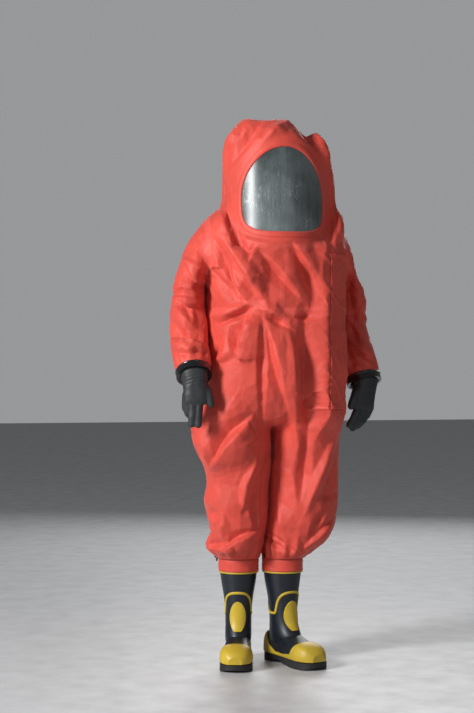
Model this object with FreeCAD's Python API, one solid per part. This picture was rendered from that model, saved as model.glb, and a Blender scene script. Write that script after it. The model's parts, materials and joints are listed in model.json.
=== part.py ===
"""Gas-tight chemical protective suit, standing on its boots, as separate named pieces.

Millimetres. +Z is up, the wearer faces -Y and the wearer's left is +X. The origin is on the
floor at the centre of the suit's footprint box.
"""
import FreeCAD
import Part
import math
import os
from FreeCAD import Vector

os.makedirs("parts", exist_ok=True)

# Driving dimensions
WALL = 3.0                # cloth stands for a 0.6 mm coated fabric
GAP = 1.5                 # running gap between pieces that move apart
ARMHOLE_X = 228.0         # both armholes lie in planes at this distance from the middle
ARMHOLE_Y = 10.0          # the armholes are round, about the shoulder hinges
ARMHOLE_Z = 1373.0
ARMHOLE_R = 108.0
CROTCH_Z = 800.0          # where the two trouser legs leave the body
KNEE_Z = 545.0
HEM_Z = 352.0             # end of the loose trouser leg
BAND_BOTTOM_Z = 308.0     # lower edge of the band that joins a leg to its boot
PIVOT_RELIEF = 4.0        # clear radius about an elbow or knee axis
NECK_FRONT_Z = 1390.0     # neck seam, at the front
NECK_BACK_Z = 1565.0      # neck seam, at the back
ZIP_TOP_Z = 1350.0
ZIP_BOTTOM_Z = 890.0
ZIP_PLACE = Vector(168.0, -158.0, 0.0)   # middle of the back of the zip tape
ZIP_TURN = 37.0           # degrees that the zip faces round to the wearer's left
FLAP_WIDTH = 68.0
FLAP_THICK = 2.0
FLAP_Y = -14.5            # back of the flap, in front of the back of the tape
RING_OUTER_R = 59.0       # cuff ring on the end of a sleeve
RING_BORE_R = 52.0
RING_HEIGHT = 24.0
VALVE_R = 29.0
BELT_Z = 1185.0

X_AXIS = Vector(1, 0, 0)
Y_AXIS = Vector(0, 1, 0)
Z_AXIS = Vector(0, 0, 1)


def save(name, *solids):
    """Writes one node, as one solid or as a group of separate solids."""
    shape = solids[0] if len(solids) == 1 else Part.makeCompound(list(solids))
    shape.exportStep("parts/%s.step" % name)


def biggest(shape):
    """The largest solid of a boolean's result, without slivers."""
    return max(shape.Solids, key=lambda s: s.Volume)


def ring(centre, side, up, half_side, half_up, squareness=2.0, count=16):
    """A closed smooth wire about a centre: an ellipse, or a squarer oval above squareness 2."""
    points = []
    for i in range(count):
        angle = 2 * math.pi * i / count
        c, s = math.cos(angle), math.sin(angle)
        x = math.copysign(abs(c) ** (2 / squareness), c) * half_side
        y = math.copysign(abs(s) ** (2 / squareness), s) * half_up
        points.append(centre + side * x + up * y)
    curve = Part.BSplineCurve()
    curve.interpolate(points, PeriodicFlag=True)
    return Part.Wire(curve.toShape())


def loft(wires):
    return Part.makeLoft(wires, True, False)


def ruled_chain(wires):
    """Straight lofts from ring to ring, joined into one solid, for rings that turn too sharply for one loft."""
    links = [Part.makeLoft([a, b], True, True) for a, b in zip(wires, wires[1:])]
    return links[0].multiFuse(links[1:]).removeSplitter()


def box(x0, x1, y0, y1, z0, z1):
    return Part.makeBox(x1 - x0, y1 - y0, z1 - z0, Vector(x0, y0, z0))


def prism(points, direction):
    """A straight prism on a closed polygon."""
    return Part.Face(Part.makePolygon(points + points[:1])).extrude(direction)


def tube_between(start, end, outer, inner):
    axis = end - start
    body = Part.makeCylinder(outer, axis.Length, start, axis)
    return body.cut(Part.makeCylinder(inner, axis.Length, start, axis)) if inner else body


# ---------------------------------------------------------------- body and hood

# height, middle in X, half width, front in Y, back in Y
TRUNK = [
    (800, -16, 254, -150, 150),
    (860, -8, 246, -168, 160),
    (930, 2, 238, -186, 172),
    (1010, 3, 228, -194, 190),
    (1090, 4, 221, -196, 210),
    (1165, 5, 222, -196, 224),
    (1250, 4, 250, -197, 230),
    (1350, 2, 262, -200, 229),
    (1430, 2, 258, -204, 215),
    (1485, 8, 236, -206, 196),
    (1530, 18, 188, -206, 172),
    (1600, 16, 186, -202, 158),
    (1676, 8, 180, -190, 146),
    (1740, 0, 165, -174, 130),
    (1786, -2, 132, -150, 98),
    (1812, -8, 84, -122, 50),
    (1820, -14, 30, -82, -8),
]


def trunk_wires(inset, bottom_z, top_z):
    """Level rings of the body and hood, drawn in from the outside by inset."""
    wires = []
    for z, middle, half, front, back in TRUNK:
        level = min(max(z, bottom_z), top_z)
        centre = Vector(middle, (front + back) / 2, level)
        wires.append(ring(centre, X_AXIS, Y_AXIS, half - inset, (back - front) / 2 - inset, 2.25))
    return wires


def trunk_half_width(z):
    """Half width and middle of the body at a height, between the listed levels."""
    for low, high in zip(TRUNK, TRUNK[1:]):
        if low[0] <= z <= high[0]:
            t = (z - low[0]) / (high[0] - low[0])
            return [a + (b - a) * t for a, b in zip(low, high)]
    raise ValueError(z)


def neck_cutter(shift):
    """Everything above the sloping neck seam, moved up by shift."""
    reach = 400.0
    slope = (NECK_BACK_Z - NECK_FRONT_Z) / 400.0
    low = NECK_FRONT_Z - slope * (reach - 200.0) + shift
    high = NECK_FRONT_Z + slope * (reach + 200.0) + shift
    points = [Vector(-reach, -reach, low), Vector(-reach, reach, high),
              Vector(-reach, reach, 2400), Vector(-reach, -reach, 2400)]
    return prism(points, X_AXIS * (2 * reach))


# The visor is a panel bent about an upright axis that leans back with the hood.
VISOR_BOTTOM_Z = 1427.0
VISOR_HEIGHT = 290.0
VISOR_HALF_WIDTH = 137.0
VISOR_RADIUS = 178.0
VISOR_FRONT_Y = -214.0
VISOR_LEAN = 5.0
VISOR_THICK = 2.0
FRAME_WIDTH = 13.0
FRAME_THICK = 6.0
GASKET_WIDTH = 9.0
GASKET_THICK = 2.5


def visor_outline(grow):
    """The visor's outline as a closed wire in the XZ plane: an arch on a flat, round-cornered sill."""
    middle = VISOR_BOTTOM_Z + 0.40 * VISOR_HEIGHT
    half = VISOR_HALF_WIDTH + grow
    top = VISOR_HEIGHT * 0.60 + grow
    low = VISOR_HEIGHT * 0.40 + grow
    points = []
    count = 24
    for i in range(count):
        angle = 2 * math.pi * i / count
        c, s = math.cos(angle), math.sin(angle)
        power = 1.0 if s >= 0 else 0.52
        x = math.copysign(abs(c) ** power, c) * half
        z = middle + (s * top if s >= 0 else -abs(s) ** power * low)
        points.append(Vector(x, 0, z))
    curve = Part.BSplineCurve()
    curve.interpolate(points, PeriodicFlag=True)
    return Part.Wire(curve.toShape())


def visor_prism(grow):
    """The outline run forward through the front of the hood."""
    face = Part.Face(visor_outline(grow))
    face.translate(Vector(0, -60, 0))
    return face.extrude(Vector(0, -400, 0))


def visor_bend(inner_r, outer_r):
    """A bent wall that leans back, which the outline is cut from."""
    axis_y = VISOR_FRONT_Y + VISOR_RADIUS
    low = VISOR_BOTTOM_Z - 80
    wall = Part.makeCylinder(outer_r, 460, Vector(0, axis_y, low))
    wall = wall.cut(Part.makeCylinder(inner_r, 460, Vector(0, axis_y, low)))
    wall.rotate(Vector(0, VISOR_FRONT_Y, VISOR_BOTTOM_Z), X_AXIS, -VISOR_LEAN)
    return wall


def visor_piece(grow_in, grow_out, inner_r, outer_r):
    """A band or panel of the bent wall, between two growths of the outline."""
    shape = visor_bend(inner_r, outer_r).common(visor_prism(grow_out))
    if grow_in is not None:
        shape = shape.cut(visor_prism(grow_in))
    return biggest(shape)


def side_block(side, distance):
    """All that lies further out than the flat side panel an armhole is cut in."""
    x0, x1 = sorted((side * distance, side * 600.0))
    return box(x0, x1, -400, 400, 1130, 1600)


def zip_facet(grow):
    """All that stands in front of the flat that the zip's backing lies on."""
    return place_zip(box(-72 - grow, 72 + grow, -160, 1.8 + grow,
                         ZIP_BOTTOM_Z - 50 - grow, ZIP_TOP_Z + 30 + grow))


def make_body_and_hood():
    outer = loft(trunk_wires(0.0, CROTCH_Z, 1820))
    inner = loft(trunk_wires(WALL, CROTCH_Z + WALL, 1820)[:-1])
    for side in (-1, 1):
        outer = outer.cut(side_block(side, ARMHOLE_X))
        inner = inner.cut(side_block(side, ARMHOLE_X - WALL))
    shell = outer.cut(zip_facet(0.0)).cut(inner.cut(zip_facet(WALL)))
    floor_ring = trunk_wires(WALL, CROTCH_Z, 1820)[0]
    inner_prism = loft([lifted(floor_ring, -10.0), lifted(floor_ring, 30.0)])
    for side in (-1, 1):
        start = Vector(side * (ARMHOLE_X - 60), ARMHOLE_Y, ARMHOLE_Z)
        shell = shell.cut(Part.makeCylinder(ARMHOLE_R - WALL, 100, start, X_AXIS * side))
    for sections in (RIGHT_LEG, LEFT_LEG):
        top = leg_wires(sections, WALL)[0]
        shell = shell.cut(loft([top, lifted(top, 12.0)]).common(inner_prism))
    shell = shell.cut(visor_prism(FRAME_WIDTH))
    hood = biggest(shell.common(neck_cutter(1.0)))
    torso = biggest(shell.cut(neck_cutter(0.0)))
    for position, axis in valve_places():
        torso = torso.cut(Part.makeCylinder(VALVE_BORE_R, 60, position - axis * 30, axis))
        torso = torso.cut(Part.makeCylinder(VALVE_R + 0.5, 20, position + axis * 1.9, axis))
        torso = torso.cut(Part.makeCylinder(VALVE_R + 2.5, 12, position - axis * 19.9, axis))
    save("hood_shell", hood)
    save("torso_shell", biggest(torso))


def lifted(wire, height):
    copy = wire.copy()
    copy.translate(Vector(0, 0, height))
    return copy


def make_visor():
    r = VISOR_RADIUS
    save("visor_lens", visor_piece(None, 0.0, r - VISOR_THICK, r))
    save("visor_frame", visor_piece(0.2, FRAME_WIDTH - 0.5, r - VISOR_THICK, r + FRAME_THICK - VISOR_THICK))
    save("visor_gasket", visor_piece(-GASKET_WIDTH, FRAME_WIDTH - 4.0,
                                     r - VISOR_THICK - GASKET_THICK, r - VISOR_THICK - 0.1))


# ---------------------------------------------------------------- trouser legs

# height, middle in X, middle in Y, half width, half depth
RIGHT_LEG = [
    (798, -140, 6, 129, 136),
    (740, -139, 6, 128, 134),
    (670, -121, 8, 110, 124),
    (610, -114, 12, 100, 118),
    (545, -121, 16, 104, 116),
    (494, -117, 20, 98, 112),
    (440, -112, 24, 86, 104),
    (392, -128, 30, 92, 104),
    (366, -116, 37, 84, 92),
    (352, -108, 40, 71, 80),
]
LEFT_LEG = [
    (798, 118, 4, 118, 136),
    (740, 114, 4, 114, 134),
    (670, 110, 6, 113, 126),
    (610, 109, 8, 117, 120),
    (545, 109, 10, 118, 120),
    (494, 104, 12, 117, 120),
    (440, 92, 14, 114, 118),
    (392, 64, 17, 92, 106),
    (366, 52, 20, 82, 92),
    (352, 42, 22, 72, 82),
]


def leg_wires(sections, inset):
    return [ring(Vector(x, y, z), X_AXIS, Y_AXIS, a - inset, b - inset)
            for z, x, y, a, b in sections]


def tube_shell(wires_outer, wires_inner, join=loft):
    return biggest(join(wires_outer).cut(join(wires_inner)))


def sector(pivot, axis, zero, start, end, reach=420.0, length=330.0):
    """A wedge about a pivot line, from angle start to end. Angles run by the right hand about axis from zero."""
    other = axis.cross(zero)
    steps = max(2, int(abs(end - start) / 20) + 1)
    points = [pivot]
    for i in range(steps + 1):
        angle = math.radians(start + (end - start) * i / steps)
        points.append(pivot + zero * (reach * math.cos(angle)) + other * (reach * math.sin(angle)))
    base = [p - axis * (length / 2) for p in points]
    return prism(base, axis * length)


def split_at_joint(tube, pivot, axis, zero, far_start, far_end, near_start, near_end):
    """Cuts a limb into the piece before a joint, the piece past it, and the cloth that folds between."""
    relief = Part.makeCylinder(PIVOT_RELIEF, 500, pivot - axis * 250, axis)
    far = biggest(tube.common(sector(pivot, axis, zero, far_start, far_end)).cut(relief))
    near = biggest(tube.common(sector(pivot, axis, zero, near_start, near_end)).cut(relief))
    slack = 0.4
    folds = []
    for start, end in ((far_end + slack, near_start - slack), (near_end + slack, far_start + 360 - slack)):
        piece = tube.common(sector(pivot, axis, zero, start, end)).cut(relief)
        folds.append(biggest(piece))
    return near, far, folds


def make_leg(side, sections):
    tube = tube_shell(leg_wires(sections, 0.0), leg_wires(sections, WALL))
    knee = [s for s in sections if s[0] == KNEE_Z][0]
    pivot = Vector(knee[1], knee[2], KNEE_Z)
    thigh, shin, folds = split_at_joint(tube, pivot, X_AXIS, Z_AXIS * -1, -88.0, 47.0, 133.0, 270.0)
    save(side + "_thigh_shell", thigh)
    save(side + "_lower_leg_shell", shin)
    save(side + "_knee_fold", *folds)


# ---------------------------------------------------------------- boots

BOOT_WALL = 4.0
SOLE_Z = 24.0
# Shaft: height, middle in Y, half width, half depth, toe towards -Y
SHAFT = [
    (346, 4, 63, 66),
    (310, 4, 62, 66),
    (270, 4, 58, 62),
    (230, 2, 51, 57),
    (190, 0, 46, 53),
    (150, -2, 44, 53),
    (112, -8, 44, 62),
    (70, -10, 42, 66),
]
# Foot: place in Y, half width, top height
FOOT = [
    (72, 22, 78),
    (60, 34, 100),
    (30, 38, 112),
    (-10, 39, 116),
    (-60, 42, 104),
    (-100, 47, 88),
    (-140, 51, 80),
    (-172, 47, 74),
    (-192, 36, 62),
    (-202, 18, 46),
]
SOLE_OUTLINE = [
    (0, 77), (24, 72), (38, 52), (39, 20), (35, -20), (37, -60), (49, -108),
    (53, -142), (49, -176), (33, -201), (0, -211),
]


def shaft_wires(grow, low=0, high=10000):
    return [ring(Vector(0, y, z), X_AXIS, Y_AXIS, a + grow, b + grow)
            for z, y, a, b in SHAFT if low <= z <= high]


def foot_wires(grow, bottom):
    """Upright rings along the foot, flat below and domed above."""
    wires = []
    for y, half, top in FOOT:
        place = y + math.copysign(grow, y) * (1 if y in (FOOT[0][0], FOOT[-1][0]) else 0)
        points = []
        height = top + grow - bottom
        for x_share, z_share in ((0, 0), (0.55, 0.0), (0.93, 0.02), (1.0, 0.22), (0.97, 0.5),
                                 (0.8, 0.8), (0.42, 0.96), (0, 1.0)):
            points.append(Vector(x_share * (half + grow), place, bottom + z_share * height))
        mirrored = [Vector(-p.x, p.y, p.z) for p in reversed(points[1:-1])]
        curve = Part.BSplineCurve()
        curve.interpolate(points + mirrored, PeriodicFlag=True)
        wires.append(Part.Wire(curve.toShape()))
    return wires


def sole_face(grow, z):
    right = [Vector(x + grow * (1 if x else 0), y + (grow if y == 77 else -grow if y == -211 else 0), z)
             for x, y in SOLE_OUTLINE]
    left = [Vector(-p.x, p.y, p.z) for p in reversed(right[1:-1])]
    curve = Part.BSplineCurve()
    curve.interpolate(right + left, PeriodicFlag=True)
    return Part.Face(Part.Wire(curve.toShape()))


def make_boot(side, place, yaw):
    """One boot, toe towards -Y, then turned out and put in place."""
    foot = loft(foot_wires(0.0, SOLE_Z))
    shaft = loft(shaft_wires(0.0))
    solid = foot.fuse(shaft)
    hollow = loft(foot_wires(-BOOT_WALL, SOLE_Z + BOOT_WALL)).fuse(loft(
        [lifted(shaft_wires(-BOOT_WALL)[0], 5.0)] + shaft_wires(-BOOT_WALL)))
    below_sole = box(-200, 200, -300, 200, -60, SOLE_Z)
    below_rim = box(-200, 200, -300, 200, -60, SOLE_Z + 2.6)
    upper = biggest(solid.cut(hollow).cut(below_sole))

    outsole = sole_face(1.0, 0.0).extrude(Vector(0, 0, SOLE_Z - 0.2))
    waist = Part.makeCylinder(70, 140, Vector(-70, -22, -62), X_AXIS)
    outsole = outsole.cut(waist)
    toe_spring = prism([Vector(-80, -175, -1), Vector(-80, -230, -1), Vector(-80, -230, 14)], X_AXIS * 160)
    outsole = biggest(outsole.cut(toe_spring))
    grooves = [box(-80, 80, y, y + 5, -1, 4) for y in (-160, -140, -120, -100, -80, 36, 50)]
    for groove in grooves:
        outsole = biggest(outsole.cut(groove))

    wrapped = loft(foot_wires(4.0, SOLE_Z)).cut(solid)
    toe_edge = Part.makeCylinder(96, 200, Vector(-100, -204, 14), X_AXIS)
    toe_cap = biggest(wrapped.common(toe_edge).cut(below_rim))
    # The yellow rand is low at the waist of the foot and climbs the heel.
    profile = [Vector(-90, -112, SOLE_Z - 1), Vector(-90, -112, 44), Vector(-90, -60, 36), Vector(-90, -10, 38),
               Vector(-90, 28, 56), Vector(-90, 52, 96), Vector(-90, 90, 104), Vector(-90, 90, SOLE_Z - 1)]
    rand_body = loft(foot_wires(3.6, SOLE_Z)).cut(solid).cut(toe_edge)
    rand = rand_body.common(prism(profile, X_AXIS * 180)).cut(below_rim)
    rands = [s for s in rand.Solids if s.Volume > 400]

    skin = loft(shaft_wires(4.0, 112, 310)).cut(loft(shaft_wires(0.0)))
    skin = skin.cut(foot)
    oval = Part.Face(ring(Vector(0, 0, 158), X_AXIS, Z_AXIS, 27, 51)).extrude(Vector(0, -140, 0))
    shin_pad = biggest(skin.common(oval))
    band_low, band_high = [], []
    for i in range(-8, 9):
        y = i * 9.5
        z = 164 + 74 * (y / 57.0) ** 2
        band_low.append(Vector(-90, y, z))
        band_high.append(Vector(-90, y, z + 8.0))
    band_prism = prism(band_low + band_high[::-1], X_AXIS * 180)
    trim_skin = loft(shaft_wires(2.4, 112, 310)).cut(loft(shaft_wires(0.0)))
    trims = [s for s in trim_skin.common(band_prism).Solids if s.Volume > 200]
    insole = loft(foot_wires(-BOOT_WALL - 4.0, SOLE_Z + BOOT_WALL + 0.3))
    insole = insole.common(box(-90, 90, -250, 100, SOLE_Z, SOLE_Z + BOOT_WALL + 6.3))
    insole = insole.cut(upper).cut(toe_cap)
    for solid in rands:
        insole = insole.cut(solid)
    insole = biggest(insole)

    # The cloth band laps 40 mm over the top of the boot shaft.
    band_outer = ring(Vector(0, 4, BAND_BOTTOM_Z), X_AXIS, Y_AXIS, 66.5, 70.5)
    band = loft([band_outer, lifted(band_outer, 41.5)])
    band_bore = ring(Vector(0, 4, BAND_BOTTOM_Z), X_AXIS, Y_AXIS, 63.6, 67.6)
    band = biggest(band.cut(loft([band_bore, lifted(band_bore, 41.5)])))

    pieces = {
        "boot_upper": [upper], "outsole": [outsole], "toe_cap": [toe_cap], "rand": rands,
        "shin_pad": [shin_pad], "boot_trim": trims, "insole": [insole], "boot_band": [band],
    }
    for name, solids in pieces.items():
        for solid in solids:
            solid.rotate(Vector(0, 0, 0), Z_AXIS, yaw)
            solid.translate(place)
        save(side + "_" + name, *solids)


# ---------------------------------------------------------------- sleeves

def unit(v):
    return v * (1.0 / v.Length)


# Rings from the armhole plane, round the shoulder and down to the elbow, as the distance out and
# height of the edge at the body, the same for the outer edge, the middle in Y and the half depth.
RIGHT_SHOULDER_ROWS = [
    (229.5, 1265, 229.5, 1481, 10, 108),
    (229.8, 1258, 289.0, 1398, 12, 99),
    (230.2, 1243, 318.0, 1316, 16, 88),
    (230.6, 1208, 334.0, 1238, 22, 79),
]
LEFT_SHOULDER_ROWS = [
    (229.5, 1265, 229.5, 1481, 10, 108),
    (229.8, 1256, 264.0, 1398, 14, 101),
    (230.2, 1240, 289.0, 1318, 20, 93),
    (230.6, 1205, 313.0, 1238, 28, 86),
]
# Forearm rings, as the share of the way from elbow to wrist, half width and half depth.
RIGHT_FOREARM_ROWS = [(0.0, 56, 74), (0.32, 60, 69), (0.66, 62, 64), (1.0, 58, 58)]
LEFT_FOREARM_ROWS = [(0.0, 46, 80), (0.32, 50, 73), (0.66, 57, 66), (1.0, 58, 58)]


def sleeve_wires(side, elbow, wrist, shoulder_rows, forearm_rows, inset):
    """Rings from the armhole plane, round the shoulder, past the elbow to the cuff."""
    wires = []
    for x0, z0, x1, z1, y, half_y in shoulder_rows:
        chord = Vector(side * (x1 - x0), 0, z1 - z0)
        centre = Vector(side * (x0 + x1) / 2, y, (z0 + z1) / 2)
        wires.append(ring(centre, unit(chord), Y_AXIS, chord.Length / 2 - inset, half_y - inset))
    fore_up = unit(X_AXIS.cross(unit(wrist - elbow)))
    for share, half_x, half_up in forearm_rows:
        centre = elbow + (wrist - elbow) * share
        up = Y_AXIS if share == 0 else fore_up
        wires.append(ring(centre, X_AXIS * side, up, half_x - inset, half_up - inset))
    return wires


def make_sleeve(name, side, elbow, wrist, shoulder_rows, forearm_rows):
    tube = tube_shell(sleeve_wires(side, elbow, wrist, shoulder_rows, forearm_rows, 0.0),
                      sleeve_wires(side, elbow, wrist, shoulder_rows, forearm_rows, WALL), join=ruled_chain)
    along = unit(wrist - elbow)
    tube = biggest(tube.cut(Part.makeCylinder(90, 60, wrist + along * 1.4, along)))
    axis = X_AXIS * -1
    lean = math.degrees(math.atan2(elbow.y - wrist.y, elbow.z - wrist.z))
    middle = (180 + lean) / 2
    front, back = ELBOW_FLEX / 2 + 2, ELBOW_STRETCH / 2 + 2
    upper, fore, folds = split_at_joint(
        tube, elbow, axis, Z_AXIS * -1,
        middle - 180 + back, middle - front, middle + front, middle + 180 - back)
    save(name + "_upper_sleeve", upper)
    save(name + "_lower_sleeve", fore)
    save(name + "_elbow_fold", *folds)


ELBOW_FLEX = 70.0
ELBOW_STRETCH = 30.0


# ---------------------------------------------------------------- cuffs and gloves

FINGERS = [  # across the hand towards the thumb, start down the hand, length, radius, spread
    (-31, 96, 66, 10.5, -4.0),
    (-11, 101, 80, 11.5, -1.0),
    (11, 101, 78, 11.5, 1.5),
    (31, 96, 70, 11.5, 4.0),
]


def finger(start, end, r0, r1):
    axis = end - start
    shape = Part.makeCone(r0, r1, axis.Length, start, axis)
    return shape.fuse(Part.makeSphere(r0, start)).fuse(Part.makeSphere(r1, end))


def make_glove(name, wrist, arm_dir, hand_dir, thumb_dir):
    """Cuff ring, glove ring, seal and glove. The glove hangs along hand_dir with its thumb to thumb_dir."""
    start = wrist + arm_dir * 1.5
    end = start + arm_dir * RING_HEIGHT
    cuff = tube_between(start, end, RING_OUTER_R, RING_BORE_R)
    bead = Part.makeTorus(RING_OUTER_R - 2.0, 3.5, start + arm_dir * 3.5, arm_dir)
    cuff = biggest(cuff.fuse(bead).cut(Part.makeCylinder(RING_BORE_R, 60, start - arm_dir * 20, arm_dir)))
    save(name + "_cuff_ring", cuff)

    lock_low = start + arm_dir * 5.0
    lock = tube_between(lock_low, end - arm_dir * 3.0, RING_BORE_R - 0.5, RING_BORE_R - 5.5)
    groove = Part.makeTorus(RING_BORE_R - 0.5, 2.0, start + arm_dir * 12, arm_dir)
    save(name + "_glove_ring", biggest(lock.cut(groove)))
    seal = Part.makeTorus(RING_BORE_R - 1.45, 1.0, start + arm_dir * 12, arm_dir)
    save(name + "_ring_seal", seal)

    hand_back = unit(thumb_dir.cross(hand_dir))
    if hand_back.y > 0:
        hand_back = hand_back * -1
    across = unit(thumb_dir - hand_dir * thumb_dir.dot(hand_dir))
    root = start + arm_dir * 8.0
    rows = [
        (root, arm_dir, 46.0, 46.0),
        (root + arm_dir * 17, arm_dir, 44.0, 43.0),
        (root + arm_dir * 22 + hand_dir * 14, unit(arm_dir + hand_dir), 39.0, 32.0),
        (root + arm_dir * 20 + hand_dir * 44, hand_dir, 41.0, 23.0),
        (root + arm_dir * 16 + hand_dir * 76, hand_dir, 44.0, 20.0),
        (root + arm_dir * 14 + hand_dir * 100, hand_dir, 42.0, 15.0),
    ]

    def palm(inset, last):
        wires = []
        for centre, normal, half, thick in rows[:last]:
            side = unit(across - normal * across.dot(normal))
            wires.append(ring(centre, side, unit(normal.cross(side)), half - inset, thick - inset, 2.3))
        return loft(wires)

    glove = palm(0.0, 6)
    base = root + arm_dir * 14
    for offset, begin, length, radius, spread in FINGERS:
        lean = unit(hand_dir + across * math.tan(math.radians(spread)) - hand_back * 0.10)
        first = base + across * offset + hand_dir * (begin - 14)
        glove = glove.fuse(finger(first, first + lean * (length - radius), radius, radius - 1.5))
    thumb_start = base + across * 28 + hand_dir * 40
    thumb_end = thumb_start + unit(hand_dir * 0.88 + across * 0.38 - hand_back * 0.28) * 60
    glove = glove.fuse(finger(thumb_start, thumb_end, 15.0, 12.0))
    glove = biggest(glove.cut(palm(3.0, 5)).cut(lock))
    save(name + "_glove", glove)


# ---------------------------------------------------------------- zip and flap

def place_zip(solid):
    """Turns a piece drawn on a flat front at the origin to its place beside the wearer's left breast."""
    solid.rotate(Vector(0, 0, 0), Z_AXIS, ZIP_TURN)
    solid.translate(ZIP_PLACE)
    return solid


def save_zip(name, *solids):
    save(name, *[place_zip(s) for s in solids])


def make_zip():
    length = ZIP_TOP_Z - ZIP_BOTTOM_Z
    save_zip("zip_tape", box(-20, 20, -1.5, 0, ZIP_BOTTOM_Z, ZIP_TOP_Z))
    save_zip("zip_backing", box(-34, 30, 0.1, 1.6, ZIP_BOTTOM_Z - 8, ZIP_TOP_Z + 8))
    teeth = []
    pitch = 6.0
    for i in range(int(length / pitch) - 5):
        z = ZIP_BOTTOM_Z + 14 + i * pitch
        for side in (-1, 1):
            x0, x1 = sorted((side * 0.3, side * 4.8))
            teeth.append(box(x0, x1, -4.2, -1.6, z + side * 1.5, z + side * 1.5 + 2.4))
    stops = [box(-6, 6, -5.0, -1.6, z, z + 7) for z in (ZIP_BOTTOM_Z + 2, ZIP_TOP_Z - 8)]
    save_zip("zip_teeth_and_stops", *teeth, *stops)

    # The slider straddles the teeth with a plate in front and lips down both sides.
    z0 = ZIP_TOP_Z - 40
    slider = box(-8, 8, -8.6, -4.9, z0, z0 + 26)
    for side in (-1, 1):
        x0, x1 = sorted((side * 5.6, side * 8.0))
        slider = slider.fuse(box(x0, x1, -6.0, -1.9, z0, z0 + 26))
    slider = slider.removeSplitter()
    bridge = box(-3, 3, -12.0, -8.5, z0 + 6, z0 + 20)
    eye = Part.makeCylinder(1.7, 20, Vector(-10, -9.7, z0 + 12), X_AXIS)
    save_zip("zip_slider", biggest(slider.fuse(bridge.cut(eye)).removeSplitter()))
    pull = Part.makeTorus(9.0, 1.05, Vector(0, -9.7, z0 + 3.0), Y_AXIS)
    tab = box(-7, 7, -10.9, -8.9, z0 - 52, z0 - 4)
    # The pull hangs on the slider's bridge with a little play on every side.
    hanging = pull.fuse(tab).cut(slider)
    for way in (X_AXIS, Y_AXIS, Z_AXIS):
        for play in (-0.15, 0.15):
            beside = slider.copy()
            beside.translate(way * play)
            hanging = hanging.cut(beside)
    save_zip("zip_pull", biggest(hanging))


def make_flap():
    """A cover strip hinged on its inner seam and held down by hook tape along its outer edge."""
    top, low = ZIP_TOP_Z + 12, ZIP_BOTTOM_Z - 30
    half = FLAP_WIDTH / 2
    save_zip("zip_flap", box(-half, half, FLAP_Y - FLAP_THICK, FLAP_Y, low, top))
    save_zip("flap_seam_strip", box(-half - 12, -half - 1.0, FLAP_Y - FLAP_THICK, 1.6, low, top))
    save_zip("hook_tape", box(half - 10, half - 1, FLAP_Y + 0.1, FLAP_Y + 1.9, low + 6, top - 6))
    save_zip("loop_tape", box(half - 10, half - 1, FLAP_Y + 2.2, -0.1, low + 6, top - 6))


# ---------------------------------------------------------------- exhaust valves

VALVE_BORE_R = 23.5
VALVE_Z = 1395.0
VALVE_X = 88.0


def back_y(x, z):
    """Where the back of the body is at a place seen from behind."""
    _, middle, half, front, back = trunk_half_width(z)
    share = abs(x - middle) / half
    return (front + back) / 2 + (back - front) / 2 * (1 - share ** 2.25) ** (1 / 2.25)


def valve_places():
    """Where each valve's axis meets the back, and its outward direction."""
    places = []
    for side in (-1, 1):
        x = side * VALVE_X
        slope_x = (back_y(x + 5, VALVE_Z) - back_y(x - 5, VALVE_Z)) / 10
        slope_z = (back_y(x, VALVE_Z + 20) - back_y(x, VALVE_Z - 20)) / 40
        places.append((Vector(x, back_y(x, VALVE_Z), VALVE_Z), unit(Vector(-slope_x, 1.0, -slope_z))))
    return places


def make_valves():
    for name, (seat, axis) in zip(("right", "left"), valve_places()):
        base = seat + axis * 2.0
        flange = Part.makeCylinder(VALVE_R, 4.0, base, axis)
        neck = Part.makeCylinder(VALVE_BORE_R - 0.4, 20.0, base - axis * 16.0, axis)
        body = flange.fuse(neck).cut(Part.makeCylinder(17.0, 40, base - axis * 20, axis))
        spokes = Part.makeCylinder(4.0, 3.0, base - axis * 3.0, axis)
        side = unit(axis.cross(Z_AXIS))
        for direction in (side, Z_AXIS):
            bar = Part.makeCylinder(1.4, 36.0, base - direction * 18.0 - axis * 1.5, direction)
            spokes = spokes.fuse(bar)
        body = biggest(body.fuse(spokes).cut(Part.makeCylinder(1.6, 20, base - axis * 8, axis)))
        save(name + "_valve_body", body)
        nut = tube_between(base - axis * 15.5, base - axis * 10.0, VALVE_R + 2, VALVE_BORE_R)
        save(name + "_valve_nut", nut)
        disc = Part.makeCylinder(20.0, 1.4, base + axis * 4.1, axis)
        stem = Part.makeCylinder(1.45, 12.0, base - axis * 6.0, axis)
        save(name + "_valve_disc", biggest(disc.fuse(stem)))
        cap = Part.makeCylinder(VALVE_R - 1.0, 11.0, base + axis * 4.0, axis)
        cap = cap.cut(Part.makeCylinder(VALVE_R - 4.0, 9.0, base + axis * 3.9, axis))
        for i in range(8):
            turn = math.radians(45 * i)
            spot = base + axis * 12.0 + side * (15 * math.cos(turn)) + Z_AXIS * (15 * math.sin(turn))
            cap = cap.cut(Part.makeCylinder(3.2, 8.0, spot, axis))
        save(name + "_valve_cap", biggest(cap))


# ---------------------------------------------------------------- inner waist belt

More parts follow.
